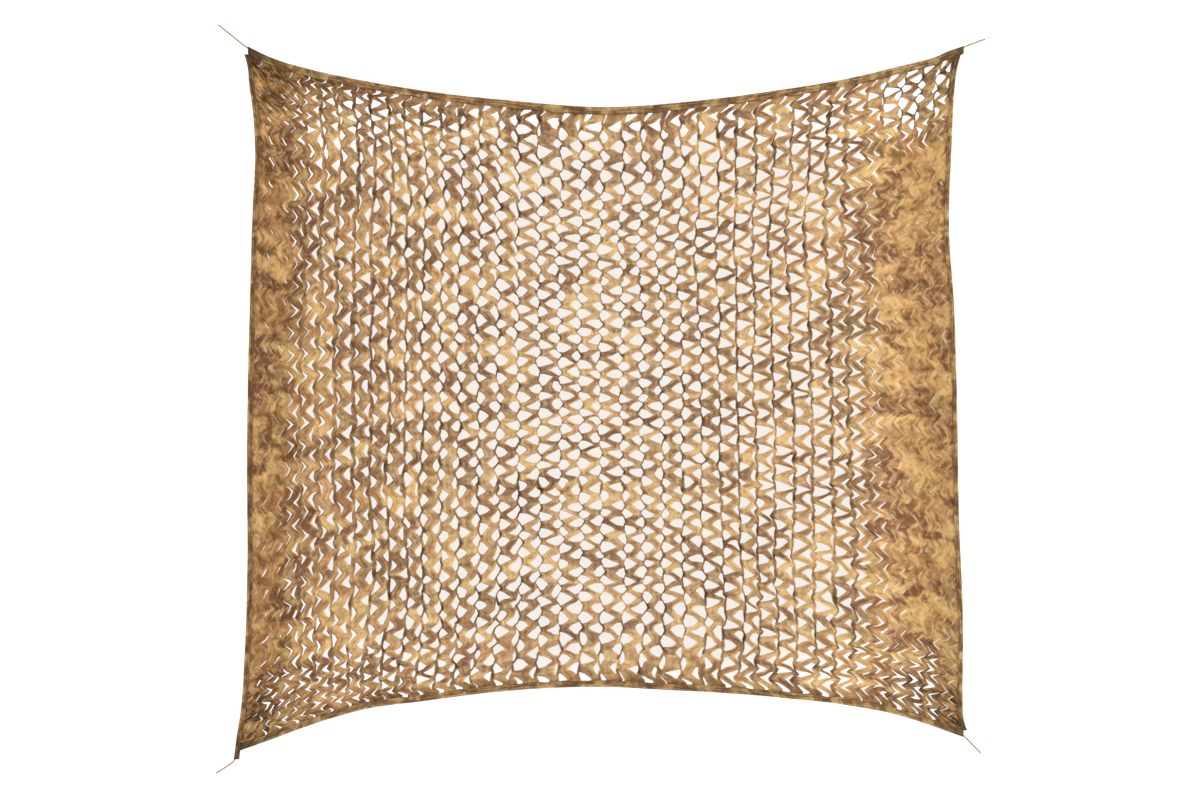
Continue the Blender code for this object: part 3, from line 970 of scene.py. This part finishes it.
def waves(seed, length, x, z):
    """A smooth field of about -1 to 1, made of crossing waves of about one length."""
    chance = np.random.default_rng(seed)
    total = np.zeros(np.broadcast(x, z).shape)
    for _ in range(CROSSING_WAVES):
        heading = chance.uniform(0, tau)
        rate = tau / (length * chance.uniform(0.7, 1.6))
        start = chance.uniform(0, tau)
        total += np.cos(rate * (x * cos(heading) + z * sin(heading)) + start)
    return total / WAVE_SCALE


def waves_by_repeat(seed, length, column, down):
    """The same over columns and rows."""
    return waves(seed, length, column * REPEAT_STEP, down * REPEAT_STEP)


def per_hole(seed, column, row):
    """A number from -1 to 1 for each hole. Half rows count as rows of their own."""
    chance = np.random.default_rng(seed)
    table = chance.uniform(-1, 1, (COLUMNS + 2, 2 * ROWS + 4))
    return table[column.astype(int), np.round(2 * row).astype(int) + 1]


print("waves at three places:", np.round(waves(1, 0.1, np.array([0, 0.1, 0.2]), 0.0), 2))

# %% [markdown]
# ## Hanging the net
# Every point of the flat cloth is read back as a place in a repeat: which column, how far
# down, and how far across a spine or a strip. Then the same place is looked up in the
# pulled-open net. A hole's free edges lean away from its spine, the strips tilt, and the
# spines fold into gutters, because cloth keeps its width: what it loses across, it gains
# in depth. A cloth simulation of over two thousand slits would be slow and hard to steer.
# The rule gives each hole its place, and the waves make it uneven.

# %% Where the net's own edges lie
LEFT_IN, RIGHT_IN, TOP_IN, BOTTOM_IN = (
    band[1] + ROPE_CLEARANCE for band in (LEFT_BAND, RIGHT_BAND, TOP_BAND, BOTTOM_BAND))
CORNER_TL = corner(left_line, LEFT_IN, top_line, TOP_IN)
CORNER_TR = corner(right_line, RIGHT_IN, top_line, TOP_IN)
CORNER_BL = corner(left_line, LEFT_IN, bottom_line, BOTTOM_IN)
CORNER_BR = corner(right_line, RIGHT_IN, bottom_line, BOTTOM_IN)
NET_WIDTH = CORNER_TR[0] - CORNER_TL[0]
NET_HEIGHT = CORNER_TL[1] - CORNER_BL[1]
FLARED = 0.06                # share of the width that follows a binding's flared end


def blend(first, last, share):
    return first * (1 - share) + last * share


def on_net(s, t):
    """Across and height at shares of the way across and down, between the four edges."""
    x_top, x_bottom = blend(CORNER_TL[0], CORNER_TR[0], s), blend(CORNER_BL[0], CORNER_BR[0], s)
    z_left, z_right = blend(CORNER_TL[1], CORNER_BL[1], t), blend(CORNER_TR[1], CORNER_BR[1], t)
    across = blend(left_line(z_left, LEFT_IN), right_line(z_right, RIGHT_IN), s)
    height = blend(top_line(x_top, TOP_IN), bottom_line(x_bottom, BOTTOM_IN), t)
    at_left, at_right = unit(1 - s / FLARED), unit(1 - (1 - s) / FLARED)
    out_left, out_right = flare(CORNER_TL[1] - height), flare(height - CORNER_BR[1])
    return across - at_left * out_left + at_right * out_right, height


print("net inside its bindings, m:", round(NET_WIDTH, 3), "x", round(NET_HEIGHT, 3))

# %% Read the flat points' places in their repeats
EASE = 0.02 * MM             # merged points may lie this far off


flat = np.empty(len(flat_net.vertices) * 3)
flat_net.vertices.foreach_get("co", flat)
u, v, _ = flat.reshape(-1, 3).T
down = np.clip(v / ROW, 0, ROWS)                                 # rows down
level = u - TOOTH * tooth(down)                                  # across, less the zigzag
column = np.clip(np.floor((level + SPINE / 2 + EASE) / REPEAT), 0, COLUMNS)
inside = level - column * REPEAT                                 # across its repeat
on_spine = (inside < SPINE / 2 + EASE) | (column == COLUMNS)
side = np.clip(inside / (SPINE / 2), -1, 1)                      # from a spine's left to its right
share = unit((inside - SPINE / 2) / (REPEAT - SPINE))            # from a strip's left to its right
print("points on a spine:", int(on_spine.sum()), "of", len(u))

# %% The pulled-open repeat
SPINE_SHUT, SPINE_OPEN = 0.40, 0.065     # a spine's visible width, of a repeat's width
# Columns: opening, how far a spine swings out at a hole on its right, in millimetres.
SWING = ((0.0, 11.0), (0.3, 9.0), (0.45, 5.5), (0.6, 0.0), (0.75, -4.5), (1.0, -7.0))
TIP_ROUNDING = 0.30
GATHER = 9 * MM              # ruffles where the cloth stays shut
CRUMPLE = 3 * MM             # and finer ones on top of them
# Where the net shows: its first and last places across and down, as shares of the net.
SHOWN_LEFT = (LEFT_BAND[0] - LEFT_IN + SELVAGE[2]) / NET_WIDTH
SHOWN_RIGHT = 1 - (RIGHT_BAND[0] - RIGHT_IN + SELVAGE[3]) / NET_WIDTH
SHOWN_TOP = (TOP_BAND[0] - TOP_IN + SELVAGE[0]) / NET_HEIGHT
SHOWN_BOTTOM = 1 - (BOTTOM_BAND[0] - BOTTOM_IN + SELVAGE[1]) / NET_HEIGHT


def shares_on_net(column, down):
    """s and t of a spine's line at a place down the net."""
    s = blend(SHOWN_LEFT, SHOWN_RIGHT, np.interp(column, np.arange(COLUMNS + 1), COLUMN_PLACES))
    return s, blend(SHOWN_TOP, SHOWN_BOTTOM, row_place(down / ROWS, s))


def on_right(s, t, pulled):
    """0 up to the middle and 1 in the right third, where the cloth is pulled unevenly."""
    from_corner = np.hypot(1 - s, t)
    return unit((s - 0.58) / 0.14) * unit(from_corner / 0.12 - 0.6) * unit(pulled / 0.4)


def spine_shape(column, down):
    """A spine's visible width, its swing and its depth of fold, in metres."""
    s, t = shares_on_net(column, down)
    pulled = opening(s, t)
    pitch = curve_through(REPEAT_WIDTH, s) / widths.sum() * NET_WIDTH
    uneven = 1 + 0.35 * waves_by_repeat(11, 0.06, column, down)
    width = pitch * blend(SPINE_SHUT, SPINE_OPEN, pulled) * uneven
    more = on_right(s, t, pulled) * (7.5 + 3.5 * waves_by_repeat(12, 0.09, column, down))
    swing = (curve_through(SWING, pulled) + more) * MM
    fold = np.sqrt(np.maximum((SPINE / 2) ** 2 - (width / 2) ** 2, 0))
    return width, swing, fold


def spine_depth(column, down):
    """How far back a spine's edges stand."""
    s, t = shares_on_net(column, down)
    x, z = on_net(s, t)
    ruffle = GATHER * waves(21, 0.075, x, z) + CRUMPLE * waves(23, 0.032, x, z)
    return unit(1 - opening(s, t)) * ruffle + 2.0 * MM * waves(22, 0.05, x, z)


def tip_share(down, middle, pulled):
    """1 at a hole's tip, 0 at its ends by the spine. The tip rounds as the cloth is pulled."""
    reach = 0.5 - JOINT
    ramp = unit((reach - np.abs(down - middle)) / reach)
    return ramp ** (1 - TIP_ROUNDING * unit(pulled))


spine_s, spine_t = shares_on_net(column, down)
spine_pulled = opening(spine_s, spine_t)
print("widest opening:", round(float(spine_pulled.max()), 2))

# %% Hang the net
HOLE_SHUT, HOLE_OPEN = -0.08, 0.63       # a hole's width, of a repeat's width
PLEAT = 3.2 * MM             # depth of the folds that run along a strip
STRIP_BOW = 2.2 * MM         # and how far the strip bows between them
TILT_SHUT, TILT_OPEN = 6.0 * MM, 7.0 * MM
BELLY = 8 * MM               # the slack middle hangs this far back
DEPTH_ROOM = 8 * MM          # the cloth may stand this far out of the CAD box
DRIFT_START = 9 * MM         # from here inwards the cloth drifts,
DRIFT_RISE = 30 * MM         # and this much further in it drifts fully
# How the whole cloth drifts from its even place. Columns: size in millimetres, seed, length.
DRIFT_ACROSS = ((5.5, 51, 0.30), (3.2, 52, 0.085), (2.4, 56, 0.034))
DRIFT_DOWN = ((4.5, 53, 0.26), (3.4, 54, 0.075), (1.5, 57, 0.036))
DRIFT_BACK = ((2.5, 55, 0.22),)


def hang():
    """Shares across and down the net, and depth, of the flat points once pulled open."""
    s, t = spine_s, spine_t
    swing_now = tooth(down)
    after = np.minimum(column + 1, COLUMNS)
    s_after, _ = shares_on_net(after, down)
    width, swing, fold = spine_shape(column, down)
    width_after, swing_after, _ = spine_shape(after, down)
    depth, depth_after = spine_depth(column, down), spine_depth(after, down)
    pitch = (s_after - s) * NET_WIDTH
    pulled = opening((s + s_after) / 2, t)
    hole = pitch * blend(HOLE_SHUT, HOLE_OPEN, pulled)
    tilt = blend(TILT_SHUT, TILT_OPEN, pulled)
    slack = on_right(s, t, pulled)
    lopsided = 0.22 * unit(1 - np.abs(s - 0.10) / 0.12) + 0.07 * waves(35, 0.5, s * 2, t * 2)
    lopsided = lopsided - 0.28 * slack
    from_edge = np.minimum(np.minimum(s, 1 - s), np.minimum(t, 1 - t))
    ragged = np.maximum(0.24 + 0.24 * slack, unit(1 - from_edge / 0.13))
    steady, luckier = 0.35 + 0.65 * pulled, 1.1 - 0.5 * pulled + 0.3 * slack

    def lip(middle, seed, lean_out):
        """How far a strip's edge leans into a hole, and how far it tilts out of the net."""
        tip = tip_share(down, middle, pulled)
        over = hole * (1 + ragged * per_hole(seed, column, middle) + lean_out) * tip
        return over, tip * tilt * (steady + luckier * per_hole(seed + 1, column, middle))

    # The strip's left edge opens the holes on a spine's right side.
    over, out = lip(np.clip(np.round(down), 0, ROWS), 31, -lopsided)
    x_left, y_left = width / 2 + swing * swing_now + over, depth - out
    # Its right edge opens the holes on the next spine's left side.
    over, out = lip(np.clip(np.floor(down), 0, ROWS - 1) + 0.5, 33, lopsided)
    x_right, y_right = pitch - width_after / 2 + swing_after * swing_now - over, depth_after + out
    bow = 4 * share * (1 - share) * STRIP_BOW * waves_by_repeat(41, 0.04, column, down)
    pleat = PLEAT * (1 + 0.5 * waves_by_repeat(43, 0.09, column, down)) * np.where(share < 0.4, 1.0, 0.8)
    bow = bow - pleat * np.sin(tau * share) ** 2 + 0.6 * PLEAT * np.sin(pi * share) ** 4
    gutter = fold * (1 - np.abs(side)) * (0.75 + 0.45 * waves(42, 0.05, column * 0.06, down * 0.04))
    offset = np.where(on_spine, side * width / 2 + swing * swing_now, blend(x_left, x_right, share))
    back = np.where(on_spine, depth + gutter, blend(y_left, y_right, share) + bow)
    return s + offset / NET_WIDTH, t, back


def settle():
    """Places every point, with the uneven drift of the whole cloth."""
    s, t, back = hang()
    s = np.where(level < -(SPINE + MARGIN) / 2, 0.0, s)
    s = unit(np.where(level > RIGHT_AT + (SPINE + MARGIN) / 2, 1.0, s))
    t = np.where(v < -MARGIN / 2, 0.0, np.where(v > ROWS * ROW + MARGIN / 2, 1.0, t))
    x, z = on_net(s, t)
    from_edge = np.minimum(np.minimum(s, 1 - s) * NET_WIDTH, np.minimum(t, 1 - t) * NET_HEIGHT)
    free = unit((from_edge - DRIFT_START) / DRIFT_RISE)
    free = free * free * (3 - 2 * free)
    across, height, deeper = (
        sum(size * MM * waves(seed, length, x, z) for size, seed, length in drift)
        for drift in (DRIFT_ACROSS, DRIFT_DOWN, DRIFT_BACK))
    belly = BELLY * np.sin(pi * s) * np.sin(pi * t)
    depth = np.clip(free * (back + belly + deeper), cad_low[1] - DEPTH_ROOM, cad_high[1] + DEPTH_ROOM)
    return np.stack([x + free * across, depth, z + free * height], axis=1)


hung = settle()
print("depth of the hung cloth, mm:", np.round([hung[:, 1].min() / MM, hung[:, 1].max() / MM], 1))

# %% [markdown]
# ### Marks for the finish
# The shader can't tell a fold from flat cloth, so the rule that made the folds also marks
# them, with a number at each point.

# %% Marks for the finish
# Columns: corner, how far its folds reach.
CRUMPLED_CORNERS = (
    (CORNER_TL, 260 * MM), (CORNER_TR, 180 * MM), (CORNER_BL, 210 * MM), (CORNER_BR, 230 * MM),
)
hung_x, _, hung_z = hung.T
half_rows = np.floor(2 * down) / 2       # the leg of the zigzag that each point is on

# How dark a slit's edge is, from -1 where it catches the light to 1 in a fold's shade.
from_left = np.minimum(np.abs(inside + SPINE / 2), np.abs(inside - REPEAT + SPINE / 2))
near = np.minimum(np.abs(inside - SPINE / 2), from_left)
dark = np.where(on_spine, side < -0.9, share < 0.1) * unit(1.25 - 2.4 * u / RIGHT_AT)
lit = unit(0.5 + 0.5 * per_hole(37, column, half_rows))
cut_edge = ((near > KERF / 4) & (near < KERF)) * (dark - lit * (1 - dark))

# How dark the painted shade in a spine's fold is, from 0 to 1, stronger where the net is pulled open and
# uneven from hole to hole.
gutter = unit(spine_pulled * (0.78 + 0.95 * per_hole(36, column, half_rows)))
gutter = gutter * (0.42 + 0.58 * np.abs(np.sin(pi * down)) ** 4) * (1 - 0.45 * np.abs(side))

# Where a strip's two long folds stand out, for a painted highlight, and the trough between them, for
# painted shade.
strong = unit(0.55 + 0.55 * waves_by_repeat(61, 0.07, column, down))
seen = np.where(on_spine, 0, unit(0.2 + 1.6 * spine_pulled))
crest = seen * strong * unit(1 - np.minimum(np.abs(share - 0.25), np.abs(share - 0.75)) / 0.2)
valley = seen * (1.1 - strong) * unit(1 - np.abs(share - 0.5) / 0.2)

# A painted tone from -1 to 1 for each leg of each strip: painted light and shade by how it faces the
# lamp, lighter over the right half, nearer the lamp.
leg = per_hole(63, column, half_rows) + 0.45 * waves_by_repeat(64, 0.03, column, down)
leg = leg + 0.25 * unit((column / COLUMNS - 0.50) / 0.20)

# How near a point lies to a corner, where the pull gathers the cloth in folds, for the painted shade and
# highlights of those folds.
crumpled = np.max([unit(1.25 - np.hypot(hung_x - across, hung_z - height) / reach)
                   for (across, height), reach in CRUMPLED_CORNERS], axis=0)

# How deep in the shade of a binding or of a crumpled corner a point lies.
from_top = top_line(hung_x, TOP_BAND[0]) - hung_z
# Columns: distance from a binding, how dark its shade is, where it starts, its reach.
shades = (
    (hung_x - left_line(hung_z, LEFT_BAND[0]), 0.33, 2.2, 80 * MM),
    (right_line(hung_z, RIGHT_BAND[0]) - hung_x, 0.42, 1.2, 130 * MM),
    (from_top, 0.6, 1.0, 22 * MM),
    (hung_z - bottom_line(hung_x, BOTTOM_BAND[0]), 0.6, 1.1, 30 * MM),
)
by_binding = [depth * unit(start - away / reach) for away, depth, start, reach in shades]
by_end = np.maximum(unit(1.2 - (hung_x + 0.95) / 0.60), 0.6 * unit(1 - (0.95 - hung_x) / 0.5))
by_corner = np.maximum(unit(1.2 - from_top / (70 * MM)) * by_end, crumpled)
patchy = unit(0.85 + 0.35 * waves(62, 0.06, hung_x, hung_z))

marks = {
    "cut_edge": cut_edge, "gutter": np.where(on_spine, gutter, 0.0),
    "crest": crest, "valley": valley, "leg_tone": np.where(on_spine, 0.3 * leg, leg),
    "pulled_thin": unit(spine_pulled), "crumpled": crumpled,
    "tucked": np.max([*by_binding, patchy * by_corner], axis=0),
}
print("points on a cut edge:", int((cut_edge != 0).sum()), "of", len(u))

# %% Finish the net's mesh
def give_uv_map(mesh, name, places):
    layer = mesh.uv_layers.new(name=name)
    corners = np.empty(len(mesh.loops), int)
    mesh.loops.foreach_get("vertex_index", corners)
    layer.data.foreach_set("uv", places[corners].astype(np.float32).ravel())


def give_mark(mesh, name, values):
    made = mesh.attributes.new(name, "FLOAT", "POINT")
    made.data.foreach_set("value", np.asarray(values, np.float32))


flat_places = np.stack([u, v], axis=1)
flat_low, flat_high = flat_places.min(axis=0), flat_places.max(axis=0)
# The folds that run from the nearest corner fall or rise across the cloth.
falling = hung_x * (hung_z - (CORNER_TL[1] + CORNER_BR[1]) / 2) < 0
along, across = (u + v) / 2 ** 0.5, (u - v) / 2 ** 0.5
maps = {
    "flat_cloth": flat_places,
    "slit_lines": np.stack([u - TOOTH * tooth(v / ROW), v], axis=1),
    "OFBake": 0.01 + 0.98 * (flat_places - flat_low) / (flat_high - flat_low),
    "crumple_lines": np.where(falling, (along, across), (across, along)).T,
}
flat_net.vertices.foreach_set("co", hung.astype(np.float32).ravel())
for name, places in maps.items():
    give_uv_map(flat_net, name, places)
for name, values in marks.items():
    give_mark(flat_net, name, values)
flat_net.update()
if flat_net.polygons[0].normal.y > 0:
    flat_net.flip_normals()
flat_net.shade_smooth()
flat_net.set_sharp_from_angle(angle=radians(55))
net = linked("net_of_cut_cloth", flat_net)
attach(net, BODY)
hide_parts("net_panel")
print("net triangles:", sum(len(face.vertices) - 2 for face in flat_net.polygons))

# %% [markdown]
# ## Bindings
# Each binding is one strip folded over the edge rope and sewn through. It is swept along
# its edge as a section of many points. The fold puckers where the stitches pull, so the
# section breathes in and out every few centimetres, and its free edge wanders.

# %% Binding strips
BAND_CLOTH = 0.8 * MM
GAP = 0.3 * MM
LEG = 1.65 * MM              # a fold's side stands this far from the net's middle
THROAT = 1.2 * MM            # and is flat from this far beyond the rope's channel
STATION = 7 * MM             # distance between sections
SEWN_ROW = 3                 # the point of the section that the stitches follow
STITCH_LIFT = 0.2 * MM
# Where each binding starts and ends along its edge. The bottom one stops at the left one
# and runs past the right one. The left one starts under the top one and runs on past the
# bottom one. The right one stands between top and bottom.
TOP_ENDS = (TOP_EDGE[0][0] * MM, TOP_EDGE[-1][0] * MM)
BOTTOM_ENDS = (corner(left_line, LEFT_BAND[0] + GAP, bottom_line, 0)[0], BOTTOM_EDGE[-1][0] * MM)
LEFT_ENDS = (corner(left_line, 0, top_line, TOP_BAND[0] + GAP)[1], LEFT_EDGE[0][0] * MM)
RIGHT_ENDS = (corner(right_line, 0, top_line, TOP_BAND[0] + GAP)[1],
              corner(right_line, 0, bottom_line, BOTTOM_BAND[0] + GAP)[1])


def top_place(place, inset):
    return place, top_line(place, inset)


def bottom_place(place, inset):
    return place, bottom_line(place, inset)


def left_place(place, inset):
    return left_line(place, inset) - flare(LEFT_ENDS[0] - place), place


def right_place(place, inset):
    return right_line(place, inset) + flare(place - RIGHT_ENDS[1]), place


def fold_section(width, channel):
    """Rows of (inset, depth) from the front free edge round the rope to the back one."""
    round_rope = (channel - BAND_CLOTH) / 2
    front = [(inset, -LEG) for inset in np.linspace(width, channel + THROAT, 5)]
    nose = [(channel / 2 + round_rope * cos(turn), round_rope * sin(turn))
            for turn in np.radians(np.linspace(-75, -285, 9))]
    back = [(inset, LEG) for inset in np.linspace(channel + THROAT, width, 3)]
    return np.array(front + nose + back)


def binding(name, band, length, ends, line, seed, shade):
    """Sweeps a fold along an edge, puckered and a little uneven.

    The shade holds how dark its rim, the side of its rope and its hem are.
    """
    width, channel = band
    section = fold_section(width, channel)
    stations = int(length / STATION)
    share, row = np.meshgrid(np.linspace(0, 1, stations), np.arange(len(section)), indexing="ij")
    inset, depth = section[row, 0], section[row, 1]
    along = share * length
    loose = unit((inset - channel) / (width - channel))
    wander = 0.5 * waves(seed, 0.06, along, 0) + 1.1 * loose * waves(seed + 1, 0.05, along, 0)
    pucker = 1.1 * MM * waves(seed + 2, 0.022, along, inset * 2)
    across, height = line(blend(*ends, share), inset - MM * wander * (0.4 + loose))
    away = np.sign(depth) * np.abs(pucker) + depth
    work = bmesh.new()
    points = [[work.verts.new(point) for point in station]
              for station in np.stack([across, away, height], axis=-1)]
    strip_layer = work.loops.layers.uv.new("strip")
    girth = distances(section)
    for i in range(stations - 1):
        for j in range(len(section) - 1):
            corners = ((i, j), (i, j + 1), (i + 1, j + 1), (i + 1, j))
            face = work.faces.new([points[a][b] for a, b in corners])
            for loop, (a, b) in zip(face.loops, corners):
                loop[strip_layer].uv = (along[a, b], girth[b])
    made = mesh_of(work, name)
    # Painted shade along the rim, beside the rope and along the hem, as strong as the shade given.
    rim = unit(1 - inset / (2.2 * MM))
    bead = unit(1 - np.abs(inset - channel - 1 * MM) / (3 * MM))
    hem = unit(1 - np.abs(inset - width) / (4 * MM))
    fold_line = shade[0] * rim + shade[1] * bead + shade[2] * hem
    # Painted shade darkens each band towards both ends.
    to_end = np.minimum(along, length - along)
    give_mark(made, "fold_line", unit(fold_line).ravel())
    give_mark(made, "gathered", unit(1.1 - to_end / (110 * MM)).ravel())
    made.materials.append(strip_finish)
    made.shade_smooth()
    thing = linked(name, made)
    wall = thing.modifiers.new("cloth", "SOLIDIFY")
    wall.thickness = BAND_CLOTH
    wall.offset = 0.0
    sewn = np.stack([across, away - BAND_CLOTH / 2 - STITCH_LIFT, height], axis=-1)[:, SEWN_ROW]
    return thing, float(girth[-1]), sewn


# Columns: band, length, ends, where it runs, seed, and the shade of rim, rope side and hem.
BANDS = {
    "binding_top": (TOP_BAND, 2.040, TOP_ENDS, top_place, 101, (0.10, 0.05, 0.55)),
    "binding_bottom": (BOTTOM_BAND, 2.055, BOTTOM_ENDS, bottom_place, 111, (0.10, 0.15, 0.50)),
    "binding_left": (LEFT_BAND, 1.975, LEFT_ENDS, left_place, 121, (0.50, 0.80, 0.70)),
    "binding_right": (RIGHT_BAND, 1.900, RIGHT_ENDS, right_place, 131, (0.45, 0.10, 0.10)),
}
sewing_lines, flat_sizes = {}, {}
for node, (band, length, *more) in BANDS.items():
    strip, girth, sewing_lines[node] = binding(node + "_folded", band, length, *more)
    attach(strip, BODY)
    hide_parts(node)
    flat_sizes[node] = (strip, (girth, length))
    print(strip.name, "flat, m:", round(girth, 4), "x", length, "faces:", len(strip.data.polygons))

# %% [markdown]
# ## Stitches
# Each binding is sewn through along the inside of its rope with one row of lock stitches.
# Geometry Nodes turns the sewing line into a curve and sets a small rounded stitch at each
# of its points. A bump in the cloth's finish would be simpler, but real stitches catch the
# light at their edges.

# %% Geometry Nodes: a row of stitches
STITCH_SPACING = 7.5 * MM
STITCH = (5.6 * MM, 1.1 * MM, 0.9 * MM)
FIRST_SEED = 5


def stitch_tree():
    """A tree that sews along a line of edges, and its inputs' identifiers by name."""
    tree, given, names = start_tree("row_of_stitches", {
        "Spacing": "Float", "Stitch": "Vector", "Seed": "Int", "Thread": "Material",
    })
    line = output_of(tree, "GeometryNodeMeshToCurve", {"Mesh": given["Geometry"]})
    spaced = output_of(tree, "GeometryNodeResampleCurve", {
        "Curve": line, "Length": given["Spacing"],
    }, {"mode": "LENGTH"})
    along = output_of(tree, "FunctionNodeAlignRotationToVector", {
        "Vector": output_of(tree, "GeometryNodeInputTangent"),
    }, {"axis": "X"})
    uneven = output_of(tree, "FunctionNodeRandomValue", {
        2: 0.82, 3: 1.12, "Seed": given["Seed"],
    }, {"data_type": "FLOAT"}, 1)
    bead = output_of(tree, "GeometryNodeMeshUVSphere", {
        "Segments": 6, "Rings": 4, "Radius": 0.5,
    })
    lying = output_of(tree, "GeometryNodeTransform", {
        "Geometry": bead, "Rotation": (0.0, radians(90), 0.0),
    })
    sized = output_of(tree, "GeometryNodeTransform", {
        "Geometry": lying, "Scale": given["Stitch"],
    })
    sewn = output_of(tree, "GeometryNodeInstanceOnPoints", {
        "Points": spaced, "Instance": sized, "Rotation": along, "Scale": uneven,
    })
    end_tree(tree, made_real(tree, sewn), given["Thread"])
    return tree, names


sewing_tree = stitch_tree()
for seed, (node, points) in enumerate(sewing_lines.items(), FIRST_SEED):
    line_mesh = bpy.data.meshes.new(node + "_line")
    line_mesh.from_pydata([tuple(point) for point in points],
                          [(at, at + 1) for at in range(len(points) - 1)], [])
    sewn_mesh = made_by_nodes(node + "_stitches", *sewing_tree, {
        "Spacing": STITCH_SPACING, "Stitch": STITCH, "Seed": seed, "Thread": thread,
    }, line_mesh)
    sewn_mesh.shade_smooth()
    row = linked(node + "_stitches", sewn_mesh)
    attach(row, BODY)
    print(row.name, "faces:", len(sewn_mesh.polygons))

print("bindings:", len(flat_sizes))
